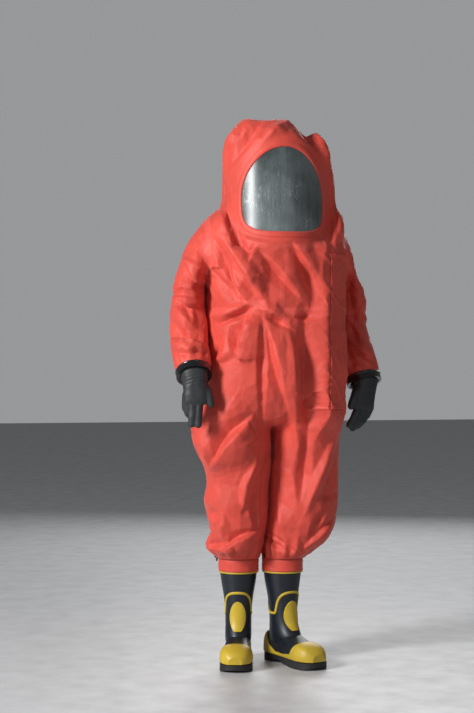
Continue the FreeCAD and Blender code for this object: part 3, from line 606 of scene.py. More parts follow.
# Each fold, in millimetres: kind, half width, height, and its crest's start, middle and end as
# (across, height) seen from the camera's side. R is a ridge, V a valley, and S a step, high on
# its left with a sharp drop on its right.
FOLDS_MM = [
    # chest and shoulders
    ("R", 20, 12, (-165, 1415), (-80, 1315), (-25, 1205)),
    ("V", 14, 10, (-195, 1420), (-155, 1310), (-120, 1265)),
    ("S", 22, 12, (-115, 1350), (-70, 1295), (-40, 1235)),
    ("S", 18, 10, (-145, 1320), (-120, 1270), (-90, 1215)),
    ("V", 14, 8, (-185, 1290), (-145, 1245), (-115, 1210)),
    ("S", 24, 12, (-35, 1365), (65, 1290), (85, 1225)),
    ("S", 24, 13, (60, 1405), (150, 1330), (155, 1200)),
    ("V", 14, 9, (100, 1330), (130, 1290), (145, 1250)),
    ("V", 20, 12, (190, 1425), (185, 1310), (180, 1195)),
    ("R", 16, 8, (170, 1410), (165, 1295), (165, 1175)),
    ("V", 18, 9, (230, 1345), (225, 1250), (215, 1175)),
    ("R", 16, 12, (-110, 1420), (-15, 1380), (60, 1410)),
    ("V", 18, 14, (-120, 1450), (-120, 1375), (-85, 1370)),
    ("S", 16, 9, (-55, 1385), (-65, 1355), (-80, 1330)),
    # waist
    ("R", 13, 10, (-190, 1155), (-120, 1185), (-80, 1200)),
    ("V", 12, 11, (-180, 1135), (-105, 1165), (-70, 1185)),
    ("R", 18, 10, (-70, 1190), (-5, 1190), (40, 1155)),
    ("V", 12, 10, (-35, 1170), (35, 1135), (60, 1115)),
    ("V", 12, 9, (75, 1155), (115, 1165), (150, 1170)),
    ("V", 14, 10, (160, 1155), (200, 1175), (230, 1195)),
    # belly and hips
    ("S", 30, 14, (-70, 1175), (-100, 1060), (-120, 1010)),
    ("R", 22, 8, (-145, 1125), (-165, 985), (-165, 885)),
    ("V", 13, 9, (-35, 1155), (-40, 920), (-35, 820)),
    ("S", 28, 12, (-15, 1125), (35, 975), (50, 870)),
    ("R", 20, 10, (50, 1105), (90, 910), (80, 710)),
    ("V", 30, 16, (100, 1155), (125, 950), (115, 725)),
    ("R", 16, 8, (160, 1145), (185, 935), (180, 835)),
    ("V", 16, 10, (190, 1130), (210, 935), (200, 835)),
    ("R", 18, 9, (225, 1135), (240, 935), (225, 835)),
    ("S", 14, 10, (-185, 1015), (-120, 1015), (-70, 1020)),
    # legs
    ("S", 34, 16, (-75, 820), (-160, 730), (-190, 675)),
    ("S", 26, 12, (-275, 790), (-195, 740), (-200, 640)),
    ("R", 14, 10, (-50, 690), (-115, 615), (-100, 515)),
    ("V", 16, 11, (-35, 660), (-90, 555), (-50, 460)),
    ("V", 14, 9, (-220, 530), (-195, 500), (-170, 480)),
    ("S", 18, 12, (-50, 450), (-140, 410), (-165, 385)),
    ("R", 14, 9, (-170, 510), (-165, 460), (-160, 415)),
    ("V", 13, 10, (-220, 395), (-180, 415), (-155, 415)),
    ("V", 14, 9, (-15, 755), (-35, 555), (-35, 475)),
    ("V", 22, 12, (110, 755), (110, 610), (90, 555)),
    ("R", 16, 11, (200, 745), (140, 590), (110, 515)),
    ("V", 16, 9, (205, 680), (195, 600), (175, 530)),
    ("S", 16, 9, (20, 530), (45, 470), (15, 430)),
    ("V", 9, 8, (-30, 430), (10, 405), (55, 370)),
    ("V", 9, 7, (-10, 440), (40, 405), (90, 365)),
    ("S", 16, 9, (200, 475), (160, 435), (110, 395)),
    ("V", 12, 8, (180, 525), (150, 475), (125, 435)),
    # sleeves
    ("S", 26, 14, (-295, 1360), (-235, 1270), (-200, 1215)),
    ("V", 14, 10, (-225, 1340), (-215, 1240), (-200, 1195)),
    ("S", 20, 9, (-235, 1210), (-275, 1230), (-335, 1225)),
    ("R", 16, 7, (-255, 1200), (-230, 1160), (-210, 1105)),
    ("S", 22, 13, (-220, 1060), (-295, 1105), (-340, 1080)),
    ("V", 12, 7, (-265, 1045), (-230, 1060), (-215, 1030)),
    ("V", 12, 6, (-320, 1045), (-285, 1030), (-255, 1035)),
    ("V", 14, 8, (245, 1345), (265, 1270), (270, 1205)),
    ("S", 16, 9, (260, 1175), (285, 1200), (305, 1175)),
    ("V", 14, 8, (260, 1145), (270, 1095), (295, 1065)),
    ("S", 14, 9, (265, 1070), (320, 1045), (345, 1010)),
    ("V", 10, 7, (260, 1010), (285, 1015), (310, 995)),
    ("R", 10, 6, (265, 1045), (290, 1025), (330, 995)),
    # hood
    ("R", 20, 11, (50, 1800), (0, 1765), (-34, 1722)),
    ("V", 18, 10, (94, 1780), (130, 1740), (168, 1689)),
    ("R", 16, 9, (135, 1785), (165, 1720), (195, 1660)),
    ("V", 16, 9, (195, 1672), (205, 1560), (215, 1437)),
    ("S", 16, 9, (-150, 1600), (-130, 1520), (-100, 1450)),
    ("V", 16, 10, (-40, 1796), (-85, 1740), (-125, 1672)),
    ("R", 14, 9, (-105, 1790), (-140, 1750), (-163, 1700)),
    ("V", 14, 8, (-175, 1660), (-168, 1580), (-160, 1500)),
    # more on the sleeves
    ("S", 26, 14, (-300, 1330), (-275, 1240), (-265, 1150)),
    ("R", 22, 12, (-330, 1200), (-300, 1150), (-255, 1120)),
    ("V", 20, 10, (-340, 1150), (-310, 1100), (-270, 1060)),
    ("R", 20, 11, (275, 1300), (295, 1220), (310, 1150)),
    ("V", 18, 9, (250, 1240), (285, 1160), (320, 1100)),
]
FOLDS = [(kind, width / 1000, height / 1000, [(a / 1000, b / 1000) for a, b in path])
         for kind, width, height, *path in FOLDS_MM]

# Places that the cloth is pulled towards: the visor's sill, waist, crotch, hems, cuffs, armpits,
# elbows and a knee.
PULLS = [(-0.13, 1.43), (0.12, 1.42), (-0.02, 1.175), (0.05, 1.16), (0.02, 0.79), (-0.16, 0.36),
         (0.06, 0.36), (-0.30, 0.99), (0.33, 0.97), (-0.225, 1.27), (0.225, 1.27), (-0.26, 1.15),
         (0.27, 1.14), (-0.17, 0.60)]
FINE_FOLDS = 230                 # short creases on each face of the garment


def fine_folds(count, start):
    """Short straight creases that point at the nearest place the cloth is pulled towards."""
    found = []
    for i in range(count):
        r = [noise.cell(Vector((i * 1.7 + start, k * 3.3, start * 0.37))) for k in range(8)]
        a, b = -0.33 + 0.68 * r[0], 0.38 + 1.06 * r[1]
        pull = min(PULLS, key=lambda q: math.hypot(q[0] - a, (q[1] - b) * 0.8))
        turn = math.atan2(pull[1] - b, pull[0] - a) + (r[2] - 0.5) * 1.1
        length = 0.05 + 0.13 * r[3]
        bend = (r[4] - 0.5) * 0.25
        path = [(a + length * t * math.cos(turn + bend * t), b + length * t * math.sin(turn + bend * t))
                for t in (-0.5, 0.0, 0.5)]
        kind = "R" if r[5] < 0.45 else "V" if r[5] < 0.75 else "S"
        found.append((kind, 0.0085 + 0.009 * r[6], 0.0035 + 0.0045 * r[7], path))
    return found


def tent(s, left, right):
    """A crest with a sharp edge and straight sides of two widths."""
    return np.clip(1 - np.abs(s) / np.where(s > 0, left, right), 0, 1)


def fold_heights(across, up, folds, scale, crisp):
    """How far the folds lift each place: crisp ones have sharp crests, soft ones round crests."""
    total = np.zeros(len(across))
    for kind, width, height, path in folds:
        first, middle, last = np.array(path)
        line = np.array([first * 1.12 - last * 0.12, (first + last + middle) / 3,
                         last * 1.12 - first * 0.12])
        spans = np.diff(line, axis=0)
        lengths = np.hypot(spans[:, 0], spans[:, 1])
        start = np.concatenate([[0], np.cumsum(lengths)])
        reach = 4.6 * width
        near = ((across > line[:, 0].min() - reach) & (across < line[:, 0].max() + reach)
                & (up > line[:, 1].min() - reach) & (up < line[:, 1].max() + reach))
        if not near.any():
            continue
        a, b = across[near][:, None], up[near][:, None]
        rel_a, rel_b = a - line[None, :-1, 0], b - line[None, :-1, 1]
        share = (rel_a * spans[:, 0] + rel_b * spans[:, 1]) / lengths ** 2
        share = np.clip(share, 0, 1)
        off_a, off_b = rel_a - share * spans[:, 0], rel_b - share * spans[:, 1]
        apart = np.hypot(off_a, off_b)
        best = apart.argmin(1)
        row = np.arange(len(best))
        side = np.sign(spans[best, 0] * off_b[row, best] - spans[best, 1] * off_a[row, best])
        along = (start[best] + share[row, best] * lengths[best]) / start[-1]
        fade = np.clip(along / 0.42, 0, 1) * np.clip((1 - along) / 0.42, 0, 1)
        s = apart[row, best] * side / (width * (0.35 + 0.65 * fade) * (1.25 if crisp else 1.0))
        if kind == "R":
            rise = tent(s, 1.5, 1.2) if crisp else np.exp(-s * s)
        elif kind == "V":
            rise = -tent(s, 1.0, 1.3) if crisp else -np.exp(-s * s)
        else:
            soft = np.exp(-((s - 0.4) / np.where(s > 0.4, 1.4, 0.6)) ** 2)
            rise = (tent(s, 2.6, 0.5) if crisp else soft) - 0.5 * tent(s + 0.55, 0.4, 1.2)
        total[near] += rise * height * fade * scale
    return total


def mirrored(folds, slide, lift):
    """The folds as they lie on the back."""
    return [(kind, width, height, [(slide - a, b + lift) for a, b in path])
            for kind, width, height, path in folds]


def from_shoulder(points):
    """Distance from the line that the shoulder turns about."""
    return np.hypot(points[:, 1] - ARMHOLE_MIDDLE[0], points[:, 2] - ARMHOLE_MIDDLE[1])


def quiet_places(points):
    """Nought at the seams and rings that keep their shape, rising to one away from them."""
    ring = np.hypot(np.abs(from_shoulder(points) - ARMHOLE_R), np.abs(np.abs(points[:, 0]) - ARMHOLE))
    calm = smooth_step(ring, 0.004, 0.040)
    out, _, _ = visor_distance(points[:, 0], points[:, 2])
    front = smooth_step(points[:, 1], 0.02, -0.06)
    calm *= 1 - front * (1 - smooth_step(out, 0.018, 0.055))
    calm *= smooth_step(points[:, 2], HEM + 0.002, HEM + 0.03)
    for side in ("right", "left"):
        _, wrist, along, _, _ = arm_frame(side)
        down = (points - wrist) @ along
        arm = np.linalg.norm(points - wrist, axis=1) < 0.16
        calm *= np.where(arm, smooth_step(-down, 0.004, 0.035), 1.0)
    return calm


def across_view(points):
    """How far each point lies to the right of the suit's middle, seen from the camera's side."""
    return points[:, 0] * VIEW[0] + points[:, 1] * VIEW[1]


def lift_folds(points, normals, front, back, ramp, scales, crisp):
    """The points raised by the front's folds where they face the camera and the back's elsewhere."""
    across, up = across_view(points), points[:, 2]
    facing = normals @ np.array([math.sin(CAMERA_TURN), -math.cos(CAMERA_TURN), 0])
    rise = fold_heights(across, up, front, scales[0], crisp) * smooth_step(facing, *ramp)
    rise += fold_heights(across, up, back, scales[1], crisp) * smooth_step(-facing, *ramp)
    return points + normals * (rise * quiet_places(points))[:, None]


def add_folds(points, normals, scale, crisp):
    return lift_folds(points, normals, FOLDS, mirrored(FOLDS, 0.03, 0.012), (-0.05, 0.35),
                      (scale, 0.75 * scale), crisp)


def add_fine_folds(points, normals):
    return lift_folds(points, normals, fine_folds(FINE_FOLDS, 3), fine_folds(FINE_FOLDS, 11),
                      (-0.02, 0.2), (1.0, 1.0), True)


# Bumps and dips along the hood's crown: height, place across, width.
CROWN = [(0.026, 0.150, 0.024), (-0.024, 0.085, 0.028), (0.010, -0.095, 0.030), (-0.012, -0.01, 0.05)]


def shape_hood(points):
    """The hood's crown: a peak over the wearer's right, a dip, and a corner over the left."""
    points = points.copy()
    across = across_view(points)
    lift = sum(height * np.exp(-((across - middle) / width) ** 2) for height, middle, width in CROWN)
    share = smooth_step(points[:, 2], 1.66, 1.76) * np.exp(-((points[:, 1] + 0.02) / 0.13) ** 2)
    points[:, 2] += lift * share
    return points


def hem_gathers(points, normals):
    """Radial gathers where each leg blouses over its elastic hem."""
    rise = np.zeros(len(points))
    for side, count, start in (("right", 15, 0.4), ("left", 17, 1.1)):
        x, y = LEGS[side][-1][1:3]
        near = (points[:, 2] < 0.47) & (np.sign(points[:, 0] + 0.03) == OUTWARD[side])
        turn = np.arctan2(points[:, 1] - y, points[:, 0] - x)
        ripple = (np.sin(count * turn + start + 1.3 * np.sin(2 * turn + start))
                  + 0.6 * np.sin((count + 6) * turn + 2.3 * start))
        height = smooth_step(points[:, 2], 0.455, 0.385) * smooth_step(points[:, 2], HEM, 0.372)
        rise += np.where(near, ripple * height * 0.0045, 0)
    return points + normals * rise[:, None]


def cuff_gathers(points, normals):
    """Short pleats where each sleeve is clamped into its ring."""
    rise = np.zeros(len(points))
    for side, count in (("right", 13), ("left", 12)):
        _, wrist, along, out, across = arm_frame(side)
        rel = points - wrist
        down = -(rel @ along)
        near = (np.linalg.norm(rel, axis=1) < 0.13) & (np.abs(points[:, 0]) > ARMHOLE)
        turn = np.arctan2(rel @ across, rel @ out)
        ripple = np.sin(count * turn + 1.5 * np.sin(turn * 2))
        height = smooth_step(down, 0.0, 0.02) * smooth_step(down, 0.09, 0.03)
        rise += np.where(near, ripple * height * 0.0035, 0)
    return points + normals * rise[:, None]


def pull_to_visor(points):
    """Draws the hood's front on to the bent visor's surface round the opening."""
    out, _, _ = visor_distance(points[:, 0], points[:, 2])
    share = (1 - smooth_step(out, 0.018, 0.070)) * smooth_step(points[:, 1], 0.0, -0.06)
    goal = visor_y(np.clip(points[:, 0], -0.172, 0.172), points[:, 2], 0.002)
    points[:, 1] = points[:, 1] * (1 - share) + goal * share
    return points


# ------------------------------------------------------------------ cutting and simulating the garment


def near_sleeve(place, side, reach):
    """Whether a place lies on the lower part of that side's sleeve."""
    _, wrist, along, out, across = arm_frame(side)
    rel = place - wrist
    beside = math.hypot(rel @ out, rel @ across)
    outside = OUTWARD[side] * place[0] > abs(wrist[0]) - 0.0595
    return beside < reach and abs(rel @ along) < 0.13 and outside


def geometry(faces):
    """The faces with their corners and edges, each once and always in the same order."""
    corners = dict.fromkeys(v for f in faces for v in f.verts)
    edges = dict.fromkeys(e for f in faces for e in f.edges)
    return [*corners, *edges, *faces]


def cut_open(garment):
    """Opens the visor hole, the cuffs and the hems."""
    work = bmesh.new()
    work.from_mesh(garment.data)
    everything = work.verts[:] + work.edges[:] + work.faces[:]
    bmesh.ops.bisect_plane(work, geom=everything, clear_outer=True,
                           plane_co=(0, 0, HEM), plane_no=(0, 0, -1))
    for side in ("right", "left"):
        _, wrist, along, _, _ = arm_frame(side)
        faces = [f for f in work.faces if near_sleeve(np.array(f.calc_center_median()), side, 0.074)]
        bmesh.ops.bisect_plane(work, geom=geometry(faces), clear_outer=True,
                               plane_co=wrist, plane_no=along)
    work.verts.index_update()
    places = np.array([v.co[:] for v in work.verts])
    out, near_x, near_z = visor_distance(places[:, 0], places[:, 2], 0.004)
    inside = (out < 0) & (places[:, 1] < -0.03)
    gone = [vert for vert, out_of_it in zip(work.verts[:], inside) if out_of_it]
    bmesh.ops.delete(work, geom=gone, context="VERTS")
    kept = np.flatnonzero(~inside)
    for vert, old in zip(work.verts, kept):
        if vert.is_boundary and abs(out[old]) < 0.03 and vert.co.y < -0.02 and vert.co.z > 1.38:
            vert.co.x, vert.co.z = near_x[old], near_z[old]
            vert.co.y = float(visor_y(near_x[old], near_z[old], 0.001))
    loose = [v for v in work.verts if not v.link_faces]
    bmesh.ops.delete(work, geom=loose, context="VERTS")
    work.to_mesh(garment.data)
    work.free()
    garment.data.update()


CRUMPLE_FRAMES = 28
HOLD_LEVELS = 40                 # steps of the weight that holds the cloth


def crumple(garment):
    """Lets the cloth buckle: it grows a little while its seams are held, and hangs from them."""
    points = points_of(garment)
    held = 1 - quiet_places(points)
    waist = 1 - smooth_step(np.abs(points[:, 2] - WAIST), 0.006, 0.030)
    hold = np.clip(np.maximum(held, 0.35 * waist), 0, 1)
    hold = np.maximum(hold, 0.05)
    group = garment.vertex_groups.new(name="held")
    for level in range(1, HOLD_LEVELS + 1):
        chosen = np.flatnonzero(np.round(hold * HOLD_LEVELS) == level)
        if len(chosen):
            group.add([int(i) for i in chosen], level / HOLD_LEVELS, "REPLACE")
    change = garment.modifiers.new("cloth", "CLOTH")
    cloth = change.settings
    cloth.quality = 6
    cloth.mass = 0.20
    cloth.air_damping = 2.0
    cloth.tension_stiffness = cloth.compression_stiffness = 20
    cloth.shear_stiffness = 8
    cloth.bending_stiffness = 0.35
    cloth.tension_damping = cloth.compression_damping = 10
    cloth.bending_damping = 0.5
    cloth.vertex_group_mass = "held"
    cloth.pin_stiffness = 0.6
    cloth.shrink_min = -0.045
    change.collision_settings.use_collision = False
    change.collision_settings.use_self_collision = False
    change.point_cache.frame_start = 1
    change.point_cache.frame_end = CRUMPLE_FRAMES
    for step in range(1, CRUMPLE_FRAMES + 1):
        SCENE.frame_set(step)
    baked(garment)
    SCENE.frame_set(1)
    garment.vertex_groups.clear()


ZIP_TURN = math.radians(37.0)
ZIP_AT = (0.168, -0.158)
ZIP_LOW, ZIP_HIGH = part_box("zip_flap")[0].z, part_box("zip_flap")[1].z
FLAP_BACK = -0.0145              # the cover's back stands this far in front of the zip's own back


def to_zip(points):
    """Places beside the zip: across it, and in front of its back (below nought)."""
    c, s = math.cos(ZIP_TURN), math.sin(ZIP_TURN)
    x, y = points[:, 0] - ZIP_AT[0], points[:, 1] - ZIP_AT[1]
    return np.stack([c * x + s * y, -s * x + c * y, points[:, 2]], 1)


def from_zip(places):
    """The way back from to_zip."""
    c, s = math.cos(ZIP_TURN), math.sin(ZIP_TURN)
    x, y = places[:, 0], places[:, 1]
    return np.stack([c * x - s * y + ZIP_AT[0], s * x + c * y + ZIP_AT[1], places[:, 2]], 1)


def zip_wave(x, z):
    """How far the cloth over and beside the zip stands forward of the cover's own level."""
    wave = 0.011 * abs(noise.noise(Vector((x * 9 + 3, 4.3, z * 7))))
    long_crease = max(0.0, 0.22 - abs(noise.noise(Vector((x * 16 + z * 9, 1.7, z * 10)))))
    short_crease = max(0.0, 0.2 - abs(noise.noise(Vector((x * 30 - z * 14, 6.1, z * 19)))))
    return wave + 0.020 * long_crease + 0.010 * short_crease


def sink_zip(points):
    """Lays the cloth flat behind the zip, in a trough that the cover closes."""
    local = to_zip(points)
    ends = smooth_step(points[:, 2], ZIP_LOW - 0.120, ZIP_LOW - 0.004)
    ends *= smooth_step(points[:, 2], ZIP_HIGH + 0.050, ZIP_HIGH + 0.004)
    near = np.abs(local[:, 1]) < 0.07
    rim = 1 - smooth_step(np.abs(local[:, 0]), 0.043, 0.088)
    level = np.full(len(local), FLAP_BACK - 0.001)
    for i in np.flatnonzero(near & (rim * ends > 0)):
        level[i] -= zip_wave(local[i, 0], local[i, 2])
    local[:, 1] = np.where(near, local[:, 1] * (1 - rim * ends) + level * rim * ends, local[:, 1])
    trough = 1 - smooth_step(np.abs(local[:, 0]), 0.0318, 0.0352)
    trough *= smooth_step(points[:, 2], ZIP_LOW - 0.004, ZIP_LOW + 0.003)
    trough *= smooth_step(points[:, 2], ZIP_HIGH + 0.004, ZIP_HIGH - 0.003)
    local[:, 1] = np.where(near, local[:, 1] * (1 - trough) + 0.0025 * trough, local[:, 1])
    return from_zip(local)


def valve_seats():
    """Middle, outward direction and seat level of each exhaust valve."""
    seats = []
    for joint in frame["joints"]:
        if joint["name"].endswith("_exhaust_lift"):
            side = joint["name"].split("_")[0]
            low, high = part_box(side + "_valve_body")
            axis = unit(joint["axis"])
            node = frame["nodes"][side + "_valve_body"]
            depth = max(np.array(v.co) @ axis for v in node.data.vertices)
            seats.append(((np.array(low) + np.array(high)) / 2, axis, depth - 0.0065))
    return seats


def flatten_valves(points):
    """Lays the cloth flat round each exhaust valve."""
    for middle, axis, level in valve_seats():
        rel = points - middle
        depth = points @ axis
        beside = np.linalg.norm(rel - np.outer(rel @ axis, axis), axis=1)
        share = (1 - smooth_step(beside, 0.034, 0.065)) * (np.abs(depth - level) < 0.06)
        points = points + np.outer((level - depth) * share, axis)
    return points


def keep_clear(points, normals):
    """Keeps the body inside, and the sleeves outside, the planes that the arms swing past."""
    x, z = points[:, 0].copy(), points[:, 2]
    facing = normals[:, 0] * np.sign(x)
    r = from_shoulder(points)
    inside = np.abs(x) < ARMHOLE - 0.0002
    limit = ARMHOLE - 0.0028 + 0.010 * smooth_step(z, 0.985, 0.94) + 0.03 * smooth_step(z, 0.93, 0.86)
    sleeve = (facing < -0.15) & (np.abs(x) > 0.21) & (r > ARMHOLE_R + 0.006) & (z > 0.93) & (z < 1.50)
    x = np.where(sleeve, np.sign(x) * np.maximum(np.abs(x), ARMHOLE + 0.0016), x)
    beside = (r > ARMHOLE_R + 0.004) & inside & ~sleeve
    x = np.where(beside, np.clip(x, -limit, limit), x)
    points = points.copy()
    points[:, 0] = x
    return points


def crumple_noise(points, normals):
    """Sharp little creases and flats over the whole cloth, as stiff coated cloth takes."""
    rise = np.empty(len(points))
    for i, (x, y, z) in enumerate(points):
        bend = noise.noise(Vector((x * 3.1, y * 3.1, z * 2.3 + 7)))
        a = noise.noise(Vector((x * 11 + bend * 1.5, y * 11, z * 6.5 + bend)))
        b = noise.noise(Vector((x * 23, y * 23 + 5, z * 17 + bend * 2)))
        rise[i] = (0.30 - abs(a)) * 0.008 + (0.25 - abs(b)) * 0.0035
    return points + normals * (rise * quiet_places(points))[:, None]


def faceted(garment, triangles, share):
    """Draws the cloth on to flats that meet in straight creases, as stiff coated cloth breaks."""
    rough = bpy.data.objects.new("flats", garment.data.copy())
    SCENE.collection.objects.link(rough)
    change = rough.modifiers.new("fewer", "DECIMATE")
    change.ratio = triangles / (2 * len(garment.data.polygons))
    baked(rough)
    tree = tree_of(rough)
    bpy.data.objects.remove(rough)
    points = points_of(garment)
    goal = np.array([tree.find_nearest(p)[0] for p in points])
    share = (share * quiet_places(points))[:, None]
    set_points(garment, points * (1 - share) + goal * share)


SOFT_FOLDS, CRISP_FOLDS = 0.30, 1.65      # shares of the folds drawn before and after the cloth buckles
FLATS, FLAT_SHARE = 8500, 0.9             # how many flats the cloth breaks into, and how far
LUMP_AT, LUMP_R = (-0.097, 0.985), 0.035  # a knot of folds below the waist that is eased


def reshape(garment, change, *values):
    """Moves the garment's points as a function of its points and normals says."""
    set_points(garment, change(points_of(garment), normals_of(garment), *values))


def make_garment():
    """The whole suit's cloth: plain skin, folds, buckling, creases, and room for zip and valves."""
    garment = joined_garment()
    set_points(garment, pull_to_visor(points_of(garment)))
    cut_open(garment)
    reshape(garment, add_folds, SOFT_FOLDS, False)
    reshape(garment, hem_gathers)
    reshape(garment, cuff_gathers)
    crumple(garment)
    change = garment.modifiers.new("finer", "SUBSURF")
    change.levels = change.render_levels = 1
    baked(garment)
    reshape(garment, crumple_noise)
    set_points(garment, shape_hood(points_of(garment)))
    reshape(garment, add_folds, CRISP_FOLDS, True)
    reshape(garment, add_fine_folds)
    faceted(garment, FLATS, FLAT_SHARE)
    points, edges = points_of(garment), edges_of(garment)
    points = relaxed(points, edges, 1, 0.05)
    from_lump = np.hypot(across_view(points) - LUMP_AT[0], points[:, 2] - LUMP_AT[1])
    lump = (from_lump < LUMP_R) & (points[:, 1] < 0)
    points = relaxed(points, edges, 25, 0.5, 1.0 - lump)
    points = keep_clear(flatten_valves(sink_zip(points)), normals_of(garment))
    set_points(garment, points)
    return garment


# ------------------------------------------------------------------ seams and pieces of the garment

TAPE_HALF = 0.0085


def tape_share(distance, soft=0.0):
    """One within half a tape's width of a seam, nought outside it."""
    return smooth_step(np.abs(distance), TAPE_HALF + soft + 0.002, TAPE_HALF + soft - 0.002)


def tape_shares(points):
    """One on the welded seam tapes, nought away from them."""
    x, y, z = points.T
    body = (np.abs(x) < ARMHOLE - 0.002) & (z > 0.80)
    middle = np.where(y < 0, z < 1.385, z < 1.80) & body
    neck = 1.390 + (y + 0.2) * (1.565 - 1.390) / 0.4
    near_arm = (np.abs(np.abs(x) - ARMHOLE) < 0.03) & (z > 1.2) & (z < 1.55)
    round_arm = smooth_step(np.abs(from_shoulder(points) - ARMHOLE_R), 0.014, 0.011)
    share = np.maximum.reduce([tape_share(x + 0.012 * (z < 1.3)) * middle, tape_share(z - neck) * body,
                               tape_share(z - WAIST, 0.003) * body, round_arm * near_arm])
    for side in ("right", "left"):
        rows = np.array(LEGS[side])[::-1]
        leg_y = np.interp(z, rows[:, 0], rows[:, 2])
        leg = (z < 0.80) & (np.sign(x + 0.012) == OUTWARD[side])
        share = np.maximum(share, tape_share(y - leg_y - 0.01) * leg)
    return share


DRAWN = 0.06                     # how far from an armhole the cloth is drawn along


def round_armholes(work, groups):
    """Makes each sleeve's cut edge a true circle, with the cloth beside it drawn along."""
    for side in ("right", "left"):
        sleeve = groups[side + "_sleeve_cloth"]
        edge = {v for f in sleeve for v in f.verts if any(g not in sleeve for g in v.link_faces)}
        near = KDTree(len(edge))
        moves = []
        for vert in edge:
            y, z = vert.co.y - ARMHOLE_MIDDLE[0], vert.co.z - ARMHOLE_MIDDLE[1]
            r = max(math.hypot(y, z), 1e-6)
            goal = Vector((OUTWARD[side] * ARMHOLE, ARMHOLE_MIDDLE[0] + y / r * ARMHOLE_R,
                           ARMHOLE_MIDDLE[1] + z / r * ARMHOLE_R))
            near.insert(vert.co, len(moves))
            moves.append(goal - vert.co)
        near.balance()
        shift = {}
        for vert in work.verts:
            if vert in edge or abs(abs(vert.co.x) - ARMHOLE) > 0.07 or vert.co.z < 1.1:
                continue
            _, index, apart = near.find(vert.co)
            if apart < DRAWN:
                shift[vert] = moves[index] * ((1 - apart / DRAWN) ** 2 * (1 + 2 * apart / DRAWN))
        for vert in edge:
            _, index, _ = near.find(vert.co)
            shift[vert] = moves[index]
        for vert, move in shift.items():
            vert.co += move


def split_garment(garment, material):
    """Body, sleeves and legs as separate pieces whose shading still meets at the cuts."""
    work = bmesh.new()
    work.from_mesh(garment.data)
    for sign in (-1, 1):
        faces = []
        for f in work.faces:
            c = f.calc_center_median()
            r = math.hypot(c.y - ARMHOLE_MIDDLE[0], c.z - ARMHOLE_MIDDLE[1])
            if abs(c.x - sign * ARMHOLE) < 0.03 and r < ARMHOLE_R + 0.11:
                faces.append(f)
        bmesh.ops.bisect_plane(work, geom=geometry(faces), dist=1e-4,
                               plane_co=(sign * ARMHOLE, 0, 0), plane_no=(sign, 0, 0))
    geom = work.verts[:] + work.edges[:] + work.faces[:]
    bmesh.ops.bisect_plane(work, geom=geom, dist=1e-4, plane_co=(0, 0, LEG_CUT), plane_no=(0, 0, 1))
    work.faces.index_update()
    groups = face_groups(work)
    round_armholes(work, {name: set(faces) for name, faces in groups.items()})
    work.normal_update()
    work.faces.index_update()
    shade = work.verts.layers.float_vector.new("shade")
    for vert in work.verts:
        vert[shade] = vert.normal
    pieces = {}
    for name, island in groups.items():
        verts = list({v: None for f in island for v in f.verts})
        number = {v: i for i, v in enumerate(verts)}
        points = np.array([v.co[:] for v in verts])
        faces = [tuple(number[v] for v in f.verts) for f in island]
        piece = mesh_object(name, points, faces, material)
        normals = np.array([v[shade][:] for v in verts])
        tape = piece.data.attributes.new("tape", "FLOAT", "POINT")
        tape.data.foreach_set("value", tape_shares(points).astype(np.float32))
        piece.data.normals_split_custom_set_from_vertices([tuple(n) for n in normals])
        pieces[name] = piece
    work.free()
    bpy.data.objects.remove(garment)
    return pieces


def reached(seed, allowed):
    """The faces joined to the seed by faces that are allowed."""
    seen, queue = {seed}, [seed]
    while queue:
        for edge in queue.pop().edges:
            for other in edge.link_faces:
                if other not in seen and allowed(other):
                    seen.add(other)
                    queue.append(other)
    return seen


def face_groups(work):
    """Faces of the body, of each sleeve beyond its armhole and of each leg below its cut."""
    middle = {f: f.calc_center_median() for f in work.faces}
    groups = {}
    taken = set()
    for side in ("right", "left"):
        sign = OUTWARD[side]
        seed = max(work.faces, key=lambda f: sign * middle[f].x if middle[f].z > 0.95 else -1)
        sleeve = reached(seed, lambda f: sign * middle[f].x > ARMHOLE and middle[f].z > 0.9)
        seed = max(work.faces, key=lambda f: sign * middle[f].x if middle[f].z < 0.6 else -1)
        leg = reached(seed, lambda f: middle[f].z < LEG_CUT)
        groups[side + "_sleeve_cloth"], groups[side + "_leg_cloth"] = sleeve, leg
        taken |= sleeve | leg
    top = max(work.faces, key=lambda f: middle[f].z)
    body = reached(top, lambda f: f not in taken)
    for face in work.faces:
        if face not in body and face not in taken:
            side = "right" if middle[face].x < 0 else "left"
            groups[side + ("_sleeve_cloth" if middle[face].z > 0.9 else "_leg_cloth")].add(face)
    groups["suit_cloth"] = body
    return {name: sorted(groups[name], key=lambda f: f.index) for name in sorted(groups)}


# ------------------------------------------------------------------ visor rim and lens


def visor_rim(material):
    """A rounded welded rim along the visor's outline."""
    count, around = 240, 16
    loop_x, loop_z = outline_loop(0.004, count)
    rings = []
    for i in range(count):
        x, z, after = loop_x[i], loop_z[i], (i + 1) % count
        ahead = np.array([loop_x[after] - loop_x[i - 1], 0, loop_z[after] - loop_z[i - 1]])
        out = unit([ahead[2], 0, -ahead[0]])
        middle = np.array([x, float(visor_y(x, z)), z])
        step = middle + out * 0.004
        slope = unit(np.array([step[0], float(visor_y(step[0], step[2])), step[2]]) - middle)
        lift = unit(np.cross(slope, unit(ahead)))
        if lift[1] > 0:
            lift = -lift
        rings.append(oval(middle - lift * 0.0005, slope, lift, 0.0105, 0.0050, 2.6, around))
    return loop_band("visor_rim_welt", rings, material)


